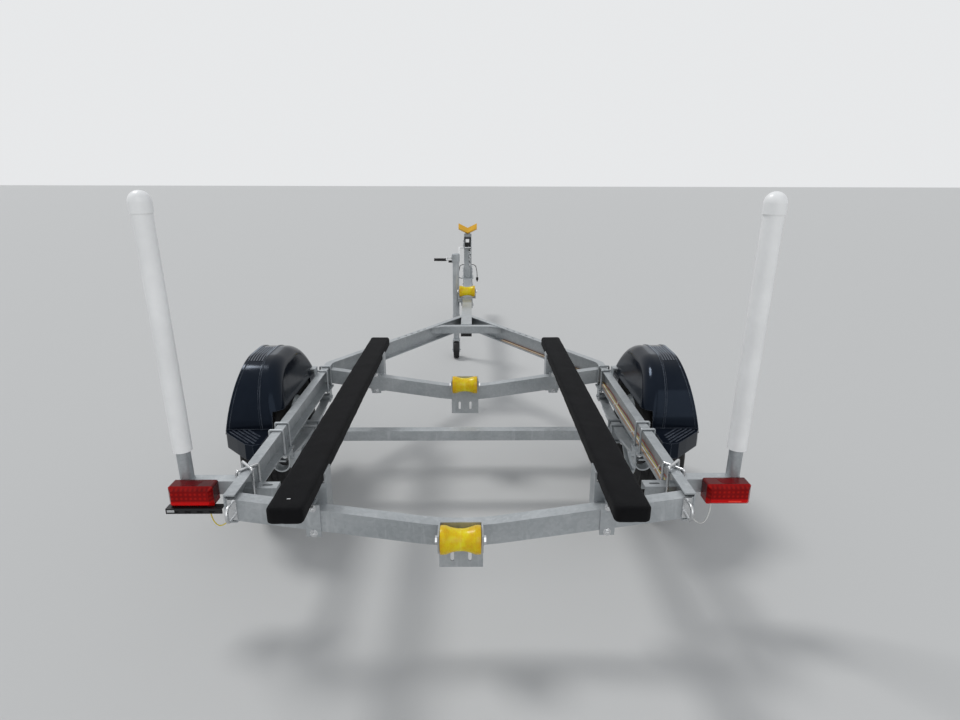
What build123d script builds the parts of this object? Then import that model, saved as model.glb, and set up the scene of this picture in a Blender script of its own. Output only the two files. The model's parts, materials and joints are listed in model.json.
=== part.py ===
import os
from math import atan, atan2, cos, degrees, pi, radians, sin, sqrt, tan

from build123d import *

# Bunk boat trailer. X to the right, Y forwards to the coupler, Z up.
# The origin is on the ground, midway along and across the trailer.

# Overall stations, measured forwards from the rear face of the rear crossmember
overall_length = 5790.0
bunk_overhang = 215.0
axle_setback = 1050.0
guide_bar_setback = 190.0
front_member_setback = 1460.0
rail_bend_setback = 1520.0
rail_meet_setback = 2760.0
crosspiece_setback = 2430.0

# The same, measured back from the coupler's tip
stand_to_tip = 995.0
jack_to_tip = 1975.0
tongue_roller_to_tip = 2125.0

# Frame
frame_width = 1560.0
frame_top = 568.0
rail_height = 102.0
rail_flange = 38.0
rail_wall = 5.0
rail_bend_radius = 110.0
member_height = 76.2
member_depth = 50.8
member_wall = 4.8
member_slope = 8.5
member_bend_radius = 1030.0
member_end_drop = 8.0
crosspiece_height = 50.0
crosspiece_depth = 50.0
gusset_reach = 95.0
gusset_thickness = 6.0
rail_slot_count = 5
rail_slot_pitch = 62.0
rail_slot_length = 30.0
rail_slot_width = 11.0
rail_slot_lead = 120.0
tongue_size = 76.2
tongue_wall = 4.8
tongue_front_gap = 290.0
tail_plug_thickness = 4.0

# Running gear
tyre_radius = 332.5
tyre_width = 205.0
# (inset from the widest part, depth below the tread)
tyre_rows = ((34.0, 0.0), (15.0, 11.0), (5.0, 32.0), (0.0, 70.0), (7.0, 112.0))
wheel_offset = 135.0
rim_radius = 190.0
rim_width = 152.0
rim_wall = 5.0
rim_flange = 9.0
rim_seat_half = 55.0
rim_well_half = 32.0
rim_well_depth = 22.0
disc_thickness = 6.0
disc_offset = 12.0
dish_inner = 86.0
dish_outer = 106.0
dish_rise = 14.0
vent_count = 5
vent_circle = 134.0
vent_length = 62.0
vent_width = 28.0
hub_radius = 42.0
hub_length = 92.0
hub_flange_radius = 76.0
hub_flange_thickness = 9.0
dust_cap_radius = 27.0
dust_cap_length = 24.0
lug_count = 5
lug_circle = 114.3
lug_radius = 9.5
lug_length = 18.0
axle_size = 50.8
axle_end_gap = 16.0
spindle_radius = 17.0
spindle_recess = 4.0
spindle_clearance = 0.05
spring_width = 44.5
leaf_thickness = 7.0
# (reach to the front, reach to the rear) of each leaf, the main leaf first
leaf_reaches = ((330.0, 510.0), (240.0, 340.0), (150.0, 200.0))
spring_radius = 2700.0
spring_eye_radius = 17.0
spring_pin_radius = 8.0
spring_pin_clearance = 0.3
spring_pad = 6.0
hanger_wall = 6.0
hanger_width = 50.0
hanger_below_eye = 24.0
hanger_side_gap = 1.0
pin_overhang = 8.0
slipper_reach = 480.0
slipper_width = 76.0
slipper_drop = 88.0
slipper_pin_radius = 6.0
hanger_bolt_offset = 40.0
axle_bolt_radius = 6.0
axle_bolt_spacing = 66.0
tie_plate = 9.0

# Fenders
fender_setback = 1055.0
fender_offset = 265.0
fender_radius = 285.0
fender_half_flat = 55.0
fender_centre_height = 482.0
fender_wall = 4.0
fender_lip = 46.0
fender_outer_lean = 45.0
fender_crease_offset = 108.0
fender_crease_lean = 30.0
fender_inner_offset = 19.0
fender_inner_lean = 30.0
fender_inner_run = 132.0
fender_inner_foot = 575.0
fender_shoulder = 60.0
fender_skirt_offset = 61.0
fender_ledge = 500.0
fender_top = 767.0
step_drop = 70.0
# plan of the step behind the arch: (out from the rail, back from the arch's middle)
step_plan = ((265.0, 345.0), (250.0, 376.0), (177.0, 451.0), (129.0, 498.0), (93.0, 510.0), (61.0, 495.0))
step_joint = 336.0
step_rib_count = 5
step_rib_pitch = 17.0
step_rib_width = 5.0
step_rib_rise = 2.5
step_rib_margin = 14.0
edge_ridge_width = 13.0
crease_ridge_width = 8.0
ridge_rise = 3.0
pad_rib_count = 6
pad_rib_pitch = 12.5
pad_rib_width = 6.0
pad_rib_rise = 3.0
tab_width = 50.0
tab_reach = 105.0
tab_thickness = 6.0
tab_setback = 400.0
tab_flange = 22.0
bracket_setback = 240.0
bracket_top = 606.0
bracket_foot = 500.0

# Guide posts, lamps and their bars
guide_bar_size = 50.8
guide_bar_wall = 4.0
guide_bar_reach = 225.0
guide_bar_top = 533.0
bar_flange = 6.0
bar_flange_width = 130.0
bar_flange_height = 80.0
backing_reach = 115.0
backing_height = 34.0
backing_wall = 5.0
backing_slot_length = 40.0
backing_slot_width = 12.0
post_offset = 201.0
post_lean = 1.5
post_pipe_radius = 24.0
post_pipe_wall = 4.0
post_pipe_length = 320.0
sleeve_radius = 32.5
sleeve_gap = 109.0
sleeve_length = 848.0
cap_radius = 36.0
cap_height = 72.0
cap_overlap = 32.0
clamp_rod_radius = 5.0
clamp_plate = 6.0
clamp_plate_margin = 12.0
clamp_clearance = 0.35
clamp_tail = 12.0
clamp_top_bend = 6.0
lamp_width = 155.0
lamp_height = 77.0
lamp_depth = 65.0
lamp_base_depth = 12.0
lamp_bevel_depth = 16.0
lamp_bevel = 12.0
lamp_corner = 8.0
lamp_offset = 160.0
lamp_above_bar = 7.0
plate_holder_width = 195.0
plate_holder_height = 20.0
plate_holder_depth = 34.0
plate_holder_wall = 4.0
plate_slot_count = 4
plate_slot_pitch = 42.0
plate_slot_length = 22.0
plate_slot_width = 7.0

# Bunks
bunk_length = 2030.0
bunk_width = 112.0
bunk_thickness = 56.0
bunk_corner = 14.0
bunk_top = 640.0
bunk_inset = 265.0
bunk_angle_size = 76.0
bunk_angle_wall = 6.0
bunk_angle_overlap = 34.0
bunk_angle_drop = 30.0
bunk_angle_gap = 0.3
bunk_clamp_width = 50.0
bunk_clamp_margin = 24.0
bunk_bolt_radius = 5.0
bunk_bolt_gap = 2.0

# Keel rollers
roller_length = 134.0
roller_end_radius = 47.0
roller_waist_radius = 36.0
roller_flat = 0.72
roller_pin_radius = 8.0
roller_pin_clearance = 0.06
roller_side_gap = 1.5
roller_plate = 6.0
roller_plate_width = 62.0
roller_back_gap = 8.0
rear_roller_height = 436.0
front_roller_height = 482.0
roller_floor_gap = 5.0
roller_pin_overhang = 8.0
roller_ear_rise = 18.0
slot_plate_drop = 68.0
slot_width = 12.0
slot_length = 46.0
slot_spacing = 60.0

# Winch stand, winch and bow stop
post_size = 76.2
post_wall = 4.0
post_top = 1010.0
stand_plate = 8.0
stand_plate_length = 180.0
stand_plate_rise = 110.0
stand_bolt_radius = 6.0
stand_bolt_inset = 16.0
stand_foot_overhang = 19.0
winch_plate = 5.0
winch_width = 74.0
winch_height = 130.0
winch_depth = 104.0
winch_shoulder = 34.0
winch_rod_radius = 5.0
winch_play = 2.0
gear_radius = 37.8
gear_width = 6.0
pinion_radius = 11.7
pinion_width = 8.0
crank_end = 4.0
winch_centre_height = 930.0
drum_radius = 34.0
drum_clearance = 0.3
shaft_radius = 9.0
crank_shaft_radius = 8.0
crank_shaft_drop = 43.0
crank_shaft_back = 26.0
crank_arm_length = 150.0
crank_arm_width = 24.0
crank_arm_thickness = 8.0
crank_arm_gap = 45.0
crank_rest_turn = 30.0
grip_radius = 13.0
grip_length = 102.0
bow_stop_wing = 92.0
bow_stop_rise = 20.0
bow_stop_tilt = 35.0
bow_stop_thickness = 26.0
bow_stop_height = 80.0
bow_stop_centre = 1052.0
bow_bracket_width = 46.0

# Strap hook and safety chain on the winch stand
hook_radius = 5.0
hook_back = 14.0
hook_top = 955.0
hook_length = 62.0
hook_bend = 14.0
chain_x = 20.0
chain_top = 872.0
chain_gap = 0.5
chain_stud_radius = 3.5
link_count = 8
link_length = 36.0
link_width = 22.0
link_radius = 3.5

# Jack
jack_plate = 8.0
jack_plate_size = 110.0
jack_plate_drop = 18.0
jack_bolt_inset = 15.0
jack_pin_radius = 20.0
jack_pin_length = 24.0
jack_pin_clearance = 0.06
jack_collar_radius = 33.0
jack_tube_radius = 28.5
jack_tube_wall = 3.2
jack_pivot_height = 530.0
jack_tube_bottom = 360.0
jack_tube_top = 930.0
jack_head_height = 70.0
jack_head_radius = 34.0
jack_cap_rise = 10.0
jack_foot_collar = 30.0
jack_boss_radius = 15.0
jack_boss_x = 40.0
jack_collar_side = 3.5
jack_seat_gap = 1.0
jack_pin_clear = 2.0
leg_clearance = 0.3
leg_engagement = 300.0
jack_crank_arm = 150.0
jack_crank_side = 30.0
fork_crown = 168.0
fork_crown_thickness = 8.0
fork_gap = 0.3
fork_wall = 5.0
fork_width = 40.0
caster_radius = 76.0
caster_width = 50.0
caster_trail = 38.0
caster_pin_radius = 6.0
caster_side_gap = 2.0
caster_groove = 5.0
caster_dish = 9.0
caster_hub_radius = 20.0
caster_tread_depth = 17.0

# Coupler
coupler_wall = 5.0
coupler_overlap = 110.0
ball_radius = 25.4
ball_clearance = 1.0
socket_wall = 8.0
latch_length = 120.0
latch_width = 26.0
latch_thickness = 6.0
latch_rise = 34.0

# Tie-down eyes
eye_half = 26.0
eye_reach = 56.0
eye_rod_radius = 5.5
eye_inset = 28.0
eye_height = 517.0
eye_plate = 5.0
eye_plate_width = 28.0
eye_plate_height = 74.0
chain_hole_radius = 7.0
chain_hole_setback = 60.0

# Cords
cord_fill = 0.45
harness_diameter = 7.0
wire_diameter = 4.0
plug_width = 24.0
plug_thickness = 12.0
plug_length = 30.0
plug_tongue = 14.0
plug_corner = 3.0
post_exit_height = 700.0

# Derived stations
y_rear_face = -overall_length / 2 + bunk_overhang
y_rear_member = y_rear_face + member_depth / 2
y_guide_bar = y_rear_face + guide_bar_setback
y_axle = y_rear_face + axle_setback
y_front_member = y_rear_face + front_member_setback
y_bend = y_rear_face + rail_bend_setback
y_meet = y_rear_face + rail_meet_setback
y_crosspiece = y_rear_face + crosspiece_setback
y_coupler_tip = overall_length / 2
y_tongue_roller = y_coupler_tip - tongue_roller_to_tip
y_jack = y_coupler_tip - jack_to_tip
y_stand = y_coupler_tip - stand_to_tip
y_fender = y_rear_face + fender_setback
y_tongue_front = y_coupler_tip - tongue_front_gap
rail_x = frame_width / 2
rail_bottom = frame_top - rail_height
web_x = rail_x - rail_wall
rail_mid_x = rail_x - rail_flange / 2
wheel_x = rail_x + wheel_offset
fender_outer_x = rail_x + fender_offset
bar_outer_x = rail_x + guide_bar_reach
post_x = rail_x + post_offset
lamp_x = rail_x + lamp_offset
eye_x = rail_x - eye_inset
bunk_x = rail_x - bunk_inset
tongue_half = tongue_size / 2
tongue_bottom = frame_top - tongue_size
tongue_mid = frame_top - tongue_half
rail_run = (rail_x - tongue_half) / (y_meet - y_bend)
rail_turn = degrees(atan(rail_run))
axle_height = tyre_radius
bunk_bottom = bunk_top - bunk_thickness
post_half = post_size / 2
lamp_low = guide_bar_top + lamp_above_bar - lamp_height
bar_low = guide_bar_top - guide_bar_size
y_lamp_wire = y_guide_bar - guide_bar_size / 2 - 2 * lamp_base_depth

# Routes of the cords, from where each leaves the trailer
harness_left = (
    (-post_half, y_stand, post_exit_height),
    (-post_half - 40, y_stand, post_exit_height),
    (-post_half - 50, y_stand - 12, post_exit_height - 48),
    (-post_half - 56, y_stand - 22, post_exit_height - 90),
    (-post_half - 56, y_stand - 34, post_exit_height - 137),
    (-tongue_half - stand_plate, y_stand - 34, post_exit_height - 137),
)
harness_right = (
    (post_half, y_stand, post_exit_height),
    (post_half + 40, y_stand, post_exit_height),
    (post_half + 52, y_stand - 14, post_exit_height - 50),
    (post_half + 58, y_stand - 20, post_exit_height - 92),
    (post_half + 58, y_stand - 20, post_exit_height - 128),
)
lamp_wire_right = (
    (rail_x + 114, y_lamp_wire, lamp_low),
    (rail_x + 114, y_lamp_wire, lamp_low - 36),
    (rail_x + 106, y_lamp_wire, lamp_low - 76),
    (rail_x + 92, y_lamp_wire + 12, lamp_low - 104),
    (rail_x + 70, y_lamp_wire + 30, lamp_low - 98),
    (rail_x + 50, y_lamp_wire + 44, lamp_low - 70),
    (rail_x + 40, y_lamp_wire + 50, lamp_low - 22),
    (rail_x + 40, y_lamp_wire + 50, bar_low),
)
lamp_wire_left = tuple((-x, y, z) for x, y, z in lamp_wire_right)


def save(part, label):
    """Name a finished solid and write it as one STEP file."""
    part.label = label
    export_step(part, f"parts/{label}.step")


def mirrored(part):
    """The same piece on the other side of the trailer."""
    with BuildPart() as other:
        mirror(part, about=Plane.YZ)
    return other.part


os.makedirs("parts", exist_ok=True)


# Side rails: channels open to the inside, bent in to the tongue
def rail_point(inset, y):
    """Plan position of a line parallel to the web's outer face on the converging stretch."""
    return rail_x - (y - y_bend) * rail_run - inset * sqrt(1 + rail_run**2)


with BuildPart() as rail:
    with BuildLine() as rail_path:
        FilletPolyline(
            (rail_x, y_rear_face, frame_top),
            (rail_x, y_bend, frame_top),
            (rail_point(0, y_meet + rail_flange), y_meet + rail_flange, frame_top),
            radius=rail_bend_radius,
        )
    with BuildSketch(Plane.XZ.offset(-y_rear_face)):
        with BuildLine():
            Polyline(
                (rail_x, frame_top),
                (rail_x, rail_bottom),
                (rail_x - rail_flange, rail_bottom),
                (rail_x - rail_flange, rail_bottom + rail_wall),
                (web_x, rail_bottom + rail_wall),
                (web_x, frame_top - rail_wall),
                (rail_x - rail_flange, frame_top - rail_wall),
                (rail_x - rail_flange, frame_top),
                close=True,
            )
        make_face()
    sweep(path=rail_path.line)
    split(bisect_by=Plane(origin=(tongue_half, 0, 0), z_dir=(1, 0, 0)), keep=Keep.TOP)
    for row in range(rail_slot_count):
        y_slot = y_crosspiece - rail_slot_lead - row * rail_slot_pitch
        slot_place = Location((rail_point(rail_flange / 2, y_slot), y_slot, frame_top), (0, 0, rail_turn))
        with BuildSketch(Plane(slot_place)):
            SlotOverall(rail_slot_length, rail_slot_width, rotation=90)
        extrude(amount=-rail_wall, mode=Mode.SUBTRACT)
save(rail.part, "rail_right")
save(mirrored(rail.part), "rail_left")


# Crossmembers: tubes that dip to the middle so that the keel clears them
def crossmember(y_middle):
    """A rectangular tube swept along a shallow V between the two webs."""
    end_z = frame_top - rail_wall - member_end_drop - member_height / 2
    low_z = end_z - web_x * tan(radians(member_slope))
    start = Plane(
        origin=(-web_x, y_middle, end_z),
        x_dir=(0, 1, 0),
        z_dir=(cos(radians(member_slope)), 0, -sin(radians(member_slope))),
    )
    over = member_height * tan(radians(member_slope))
    lead = Vector(-over, 0, over * tan(radians(member_slope)))
    with BuildPart() as member:
        with BuildLine() as path:
            FilletPolyline(
                Vector(-web_x, y_middle, end_z) + lead,
                (0, y_middle, low_z),
                Vector(web_x, y_middle, end_z) + Vector(over, 0, lead.Z),
                radius=member_bend_radius,
            )
        with BuildSketch(Plane(origin=path.line @ 0, x_dir=start.x_dir, z_dir=start.z_dir)):
            Rectangle(member_depth, member_height)
            Rectangle(member_depth - 2 * member_wall, member_height - 2 * member_wall, mode=Mode.SUBTRACT)
        sweep(path=path.line)
        split(bisect_by=Plane(origin=(web_x, 0, 0), z_dir=(1, 0, 0)), keep=Keep.BOTTOM)
        split(bisect_by=Plane(origin=(-web_x, 0, 0), z_dir=(1, 0, 0)), keep=Keep.TOP)
    return member.part


def member_top(x):
    """Height of a crossmember's top face at a place on its straight arm."""
    end_top = frame_top - rail_wall - member_end_drop - member_height / 2
    rise = member_height / 2 / cos(radians(member_slope))
    return end_top - (web_x - abs(x)) * tan(radians(member_slope)) + rise


member_full = member_height / cos(radians(member_slope))
save(crossmember(y_rear_member), "rear_crossmember")
save(crossmember(y_front_member), "front_crossmember")

# Crosspiece where the rails close in, notched over the tongue
crosspiece_top = frame_top - rail_wall
crosspiece_bottom = crosspiece_top - crosspiece_height
y_cross_rear = y_crosspiece - crosspiece_depth / 2
y_cross_front = y_crosspiece + crosspiece_depth / 2
with BuildPart() as crosspiece:
    with BuildSketch(Plane.XY.offset(crosspiece_bottom)):
        with BuildLine():
            Polyline(
                (rail_point(rail_wall, y_cross_rear), y_cross_rear),
                (rail_point(rail_wall, y_cross_front), y_cross_front),
                (-rail_point(rail_wall, y_cross_front), y_cross_front),
                (-rail_point(rail_wall, y_cross_rear), y_cross_rear),
                close=True,
            )
        make_face()
    extrude(amount=crosspiece_height)
    for side in (-1, 1):
        corner = Vector(side * rail_point(rail_wall, y_cross_rear), y_cross_rear)
        y_along = y_cross_rear - gusset_reach
        along = Vector(side * rail_point(rail_wall, y_along), y_along)
        inward = Vector(corner.X - side * gusset_reach, y_cross_rear)
        with BuildSketch(Plane.XY.offset(crosspiece_top - gusset_thickness)):
            with BuildLine():
                Polyline(along, corner, inward)
                ThreePointArc(inward, (along + inward) * 0.36 + corner * 0.28, along)
            make_face()
        extrude(amount=gusset_thickness)
save(crosspiece.part, "crosspiece")

chain_hole = Location((0, y_tongue_front - chain_hole_setback, tongue_mid), (0, 90, 0))

# Tongue, a square tube whose notched tail lies under the crosspiece
with BuildPart() as tongue:
    with BuildSketch(Plane.XZ.offset(-y_cross_rear)):
        with Locations((0, tongue_mid)):
            Rectangle(tongue_size, tongue_size)
            Rectangle(tongue_size - 2 * tongue_wall, tongue_size - 2 * tongue_wall, mode=Mode.SUBTRACT)
    extrude(amount=-(y_tongue_front - y_cross_rear))
    with BuildSketch(Plane.XY.offset(crosspiece_bottom)):
        with Locations((0, y_crosspiece)):
            Rectangle(tongue_size, crosspiece_depth)
    extrude(amount=tongue_size, mode=Mode.SUBTRACT)
    with Locations(chain_hole):
        Cylinder(chain_hole_radius, 2 * tongue_size, mode=Mode.SUBTRACT)
save(tongue.part, "tongue")

with BuildPart() as tail_plug:
    with BuildSketch(Plane.XZ.offset(-y_cross_rear)):
        with Locations((0, (tongue_bottom + crosspiece_bottom) / 2)):
            Rectangle(tongue_size, crosspiece_bottom - tongue_bottom)
    extrude(amount=tail_plug_thickness)
save(tail_plug.part, "tongue_tail_plug")

# Coupler: a formed sleeve over the tongue's front end with a ball socket
y_ball = y_coupler_tip - ball_radius - ball_clearance - socket_wall
socket_outer = ball_radius + ball_clearance + socket_wall
ball_height = tongue_bottom + ball_radius - 2
with BuildPart() as coupler:
    with BuildSketch(Plane.XZ.offset(-(y_tongue_front - coupler_overlap))):
        with Locations((0, tongue_mid)):
            Rectangle(tongue_size + 2 * coupler_wall, tongue_size + 2 * coupler_wall)
            Rectangle(tongue_size, tongue_size, mode=Mode.SUBTRACT)
    extrude(amount=-coupler_overlap)
    with BuildSketch(Plane.XZ.offset(-y_tongue_front)):
        with Locations((0, tongue_mid)):
            Rectangle(tongue_size + 2 * coupler_wall, tongue_size + 2 * coupler_wall)
    with BuildSketch(Plane.XZ.offset(-(y_ball - socket_outer))):
        with Locations((0, ball_height + socket_wall)):
            Rectangle(2 * socket_outer, 2 * ball_radius)
    loft()
    with BuildSketch(Plane.XY.offset(ball_height + socket_wall - ball_radius)):
        with Locations((0, y_ball)):
            Circle(socket_outer)
        with Locations((0, y_ball - socket_outer / 2)):
            Rectangle(2 * socket_outer, socket_outer)
    extrude(amount=2 * ball_radius)
    with Locations((0, y_ball, ball_height)):
        Sphere(ball_radius + ball_clearance, mode=Mode.SUBTRACT)
        Cylinder(
            ball_radius + ball_clearance,
            2 * ball_radius,
            align=(Align.CENTER, Align.CENTER, Align.MAX),
            mode=Mode.SUBTRACT,
        )
    latch_foot = tongue_mid + tongue_half + coupler_wall
    with BuildSketch(Plane.YZ.offset(-latch_width / 2)):
        with BuildLine():
            Polyline(
                (y_tongue_front - latch_length / 2, latch_foot),
                (y_tongue_front - latch_length / 2 - latch_thickness, latch_foot + latch_rise),
                (y_tongue_front - latch_length / 2, latch_foot + latch_rise + latch_thickness),
                (y_tongue_front, latch_foot + latch_rise / 2 + latch_thickness),
                (y_tongue_front + latch_length / 2, latch_foot - coupler_wall),
                (y_tongue_front, latch_foot - coupler_wall),
                close=True,
            )
        make_face()
    extrude(amount=latch_width)
    with Locations(chain_hole):
        Cylinder(chain_hole_radius, 2 * tongue_size, mode=Mode.SUBTRACT)
save(coupler.part, "coupler")

# Axle beam with its two spindles
hub_inner_x = wheel_x - hub_length / 2
axle_end_x = hub_inner_x - axle_end_gap
spindle_end_x = wheel_x + hub_length / 2 - spindle_recess
with BuildPart() as axle:
    with Locations((0, y_axle, axle_height)):
        Box(2 * axle_end_x, axle_size, axle_size)
        with Locations(Rotation(0, 90, 0)):
            Cylinder(spindle_radius, 2 * spindle_end_x)
save(axle.part, "axle")

# Leaf springs, in arcs about one centre so that the leaves lie on each other
spring_seat = axle_height + axle_size / 2 + spring_pad
front_reach = leaf_reaches[0][0]
stack = leaf_thickness * len(leaf_reaches)
leaf_centre_z = spring_seat + stack - leaf_thickness / 2 + spring_radius


def leaf_height(reach, depth):
    """Height of the main leaf's middle line, less a depth, at a distance from the axle."""
    return leaf_centre_z - sqrt((spring_radius + depth) ** 2 - reach**2)


eye_z = leaf_height(front_reach, 0) + spring_eye_radius - leaf_thickness / 2
with BuildPart() as spring:
    with BuildSketch(Plane.YZ.offset(rail_mid_x - spring_width / 2)):
        for row, (ahead, behind) in enumerate(leaf_reaches):
            upper = (row - 0.5) * leaf_thickness
            lower = upper + leaf_thickness
            with BuildLine():
                low = ThreePointArc(
                    (y_axle - behind, leaf_height(behind, lower)),
                    (y_axle, leaf_height(0, lower)),
                    (y_axle + ahead, leaf_height(ahead, lower)),
                )
                high = ThreePointArc(
                    (y_axle - behind, leaf_height(behind, upper)),
                    (y_axle, leaf_height(0, upper)),
                    (y_axle + ahead, leaf_height(ahead, upper)),
                )
                Line(low @ 0, high @ 0)
                Line(low @ 1, high @ 1)
            make_face()
        with Locations((y_axle + front_reach, eye_z)):
            Circle(spring_eye_radius)
            Circle(spring_pin_radius + spring_pin_clearance, mode=Mode.SUBTRACT)
    extrude(amount=spring_width)
save(spring.part + mirrored(spring.part), "leaf_springs")

clamp_out = rail_x + bar_flange + clamp_rod_radius + clamp_clearance
clamp_in = rail_x - rail_flange - clamp_rod_radius - clamp_clearance
clamp_high = frame_top + clamp_rod_radius + clamp_clearance
clamp_low = rail_bottom - clamp_plate - clamp_tail
clamp_mid_x = (clamp_out + clamp_in) / 2
clamp_plate_width = clamp_out - clamp_in + 2 * clamp_plate_margin


def u_bolt(y_out, y_in, rise=0):
    """A rod bent over the rail, from its outer leg to its inner leg, threaded ends down."""
    with BuildPart() as bolt:
        with BuildLine() as rod_path:
            FilletPolyline(
                (clamp_out, y_out, clamp_low),
                (clamp_out, y_out, clamp_high + rise),
                (clamp_in, y_in, clamp_high + rise),
                (clamp_in, y_in, clamp_low),
                radius=clamp_top_bend,
            )
        with BuildSketch(Plane(origin=rod_path.line @ 0, z_dir=(0, 0, 1))):
            Circle(clamp_rod_radius)
        sweep(path=rod_path.line)
    return bolt.part


# Hangers under the rails: an eye pin in front, a strap for the spring's slipper end behind
hanger_half = spring_width / 2 + hanger_side_gap
y_eye = y_axle + front_reach
y_slipper = y_axle - slipper_reach
with BuildPart() as hangers:
    for y_hanger in (y_eye, y_slipper):
        with Locations((clamp_mid_x, y_hanger, rail_bottom - clamp_plate / 2)):
            Box(clamp_plate_width, 2 * hanger_bolt_offset + 2 * clamp_plate_margin, clamp_plate)
        for side in (-1, 1):
            add(u_bolt(y_hanger + side * hanger_bolt_offset, y_hanger + side * hanger_bolt_offset))
    for side in (-1, 1):
        x_plate = rail_mid_x + side * (hanger_half + hanger_wall / 2)
        with Locations((x_plate, y_eye, (rail_bottom + eye_z - hanger_below_eye) / 2)):
            Box(hanger_wall, hanger_width, rail_bottom - eye_z + hanger_below_eye)
    with Locations(Location((rail_mid_x, y_eye, eye_z), (0, 90, 0))):
        Cylinder(spring_pin_radius, 2 * (hanger_half + hanger_wall + pin_overhang))
    slipper_turn = rail_bottom - slipper_drop + slipper_width / 2
    with BuildSketch(Plane.XZ.offset(-y_slipper - hanger_width / 2)):
        for half, mode in ((slipper_width / 2, Mode.ADD), (slipper_width / 2 - hanger_wall, Mode.SUBTRACT)):
            with Locations((rail_mid_x, slipper_turn)):
                Circle(half, mode=mode)
            with Locations((rail_mid_x, (slipper_turn + rail_bottom) / 2)):
                Rectangle(2 * half, rail_bottom - slipper_turn, mode=mode)
    extrude(amount=hanger_width)
    pin_z = leaf_height(slipper_reach, -leaf_thickness / 2 - slipper_pin_radius)
    with Locations(Location((rail_mid_x, y_slipper, pin_z), (0, 90, 0))):
        Cylinder(slipper_pin_radius, slipper_width + 2 * pin_overhang)
save(hangers.part + mirrored(hangers.part), "spring_hangers")

# U-bolts and tie plates clamp each spring to the beam
with BuildPart() as seat:
    with Locations((rail_mid_x, y_axle, axle_height + axle_size / 2 + spring_pad / 2)):
        Box(spring_width, axle_size, spring_pad)
    top_z = spring_seat + stack
    leaf_rise = (axle_bolt_spacing / 2 + axle_bolt_radius) ** 2 / (2 * spring_radius)
    bottom_z = axle_height - axle_size / 2
    with Locations((rail_mid_x, y_axle, bottom_z - tie_plate / 2)):
        Box(spring_width + 6 * axle_bolt_radius, axle_bolt_spacing + 4 * axle_bolt_radius, tie_plate)
    for side in (-1, 1):
        y_bolt = y_axle + side * axle_bolt_spacing / 2
        x_leg = spring_width / 2 + axle_bolt_radius
        for leg in (-1, 1):
            with Locations((rail_mid_x + leg * x_leg, y_bolt, (top_z + bottom_z - 2 * tie_plate) / 2)):
                Cylinder(axle_bolt_radius, top_z - bottom_z + 2 * tie_plate)
        with Locations(Location((rail_mid_x, y_bolt, top_z + axle_bolt_radius + leaf_rise), (0, 90, 0))):
            Cylinder(axle_bolt_radius, 2 * (x_leg + axle_bolt_radius))
save(seat.part + mirrored(seat.part), "spring_seats")

# Wheels: tyre, rim and hub turn together on the spindle
bead_x = rim_width / 2 - rim_wall
half_tyre = tyre_width / 2
tyre_side = [(half_tyre - inset, tyre_radius - depth) for inset, depth in tyre_rows]
tyre_side += [(bead_x, rim_radius + rim_flange), (bead_x, rim_radius)]
with BuildPart() as tyre:
    with BuildSketch(Plane.XZ):
        with BuildLine():
            Polyline(*tyre_side, *[(-x, radius) for x, radius in reversed(tyre_side)], close=True)
        make_face()
    revolve(axis=Axis.X)

well_radius = rim_radius - rim_well_depth
rim_side = [
    (rim_width / 2, rim_radius - rim_wall),
    (rim_width / 2, rim_radius + rim_flange),
    (bead_x, rim_radius + rim_flange),
    (bead_x, rim_radius),
    (rim_seat_half, rim_radius),
    (rim_well_half, well_radius),
]
rim_inside = [
    (rim_well_half + rim_wall / 2, well_radius - rim_wall),
    (rim_seat_half + rim_wall / 2, rim_radius - rim_wall),
]
disc_back = disc_offset - disc_thickness / 2
disc_front = disc_offset + disc_thickness / 2
with BuildPart() as rim:
    with BuildSketch(Plane.XZ):
        with BuildLine():
            Polyline(
                *rim_side,
                *[(-x, radius) for x, radius in reversed(rim_side)],
                *[(-x, radius) for x, radius in reversed(rim_inside)],
                *rim_inside,
                close=True,
            )
        make_face()
        with BuildLine():
            Polyline(
                (disc_back, hub_radius),
                (disc_front, hub_radius),
                (disc_front, dish_inner),
                (disc_front + dish_rise, dish_outer),
                (disc_front + dish_rise, well_radius - rim_wall / 2),
                (disc_back + dish_rise, well_radius - rim_wall / 2),
                (disc_back + dish_rise, dish_outer),
                (disc_back, dish_inner),
                close=True,
            )
        make_face()
    revolve(axis=Axis.X)
    with BuildSketch(Plane.YZ.offset(disc_back)):
        with PolarLocations(vent_circle, vent_count):
            SlotOverall(vent_length, vent_width, rotation=90)
    extrude(amount=disc_thickness + dish_rise, mode=Mode.SUBTRACT)
with BuildPart() as hub:
    with BuildSketch(Plane.XZ):
        with Locations((0, hub_radius / 2)):
            Rectangle(hub_length, hub_radius)
        with Locations((disc_back - hub_flange_thickness / 2, hub_flange_radius / 2)):
            Rectangle(hub_flange_thickness, hub_flange_radius)
        with Locations((hub_length / 2 + dust_cap_length / 2, dust_cap_radius / 2)):
            Rectangle(dust_cap_length, dust_cap_radius)
    revolve(axis=Axis.X)
    with Locations(Location((-hub_length / 2, 0, 0), (0, 90, 0))):
        Cylinder(
            spindle_radius + spindle_clearance,
            hub_length,
            align=(Align.CENTER, Align.CENTER, Align.MIN),
            mode=Mode.SUBTRACT,
        )
    with Locations(Location((disc_front, 0, 0), (0, 90, 0))):
        with PolarLocations(lug_circle / 2, lug_count):
            Cylinder(lug_radius, lug_length, align=(Align.CENTER, Align.CENTER, Align.MIN))
wheel_pieces = ((tyre, "tyre"), (rim, "rim"), (hub, "hub"))
for builder, name in wheel_pieces:
    placed = Pos(wheel_x, y_axle, axle_height) * builder.part
    save(placed, f"{name}_right")
    save(mirrored(placed), f"{name}_left")


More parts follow.
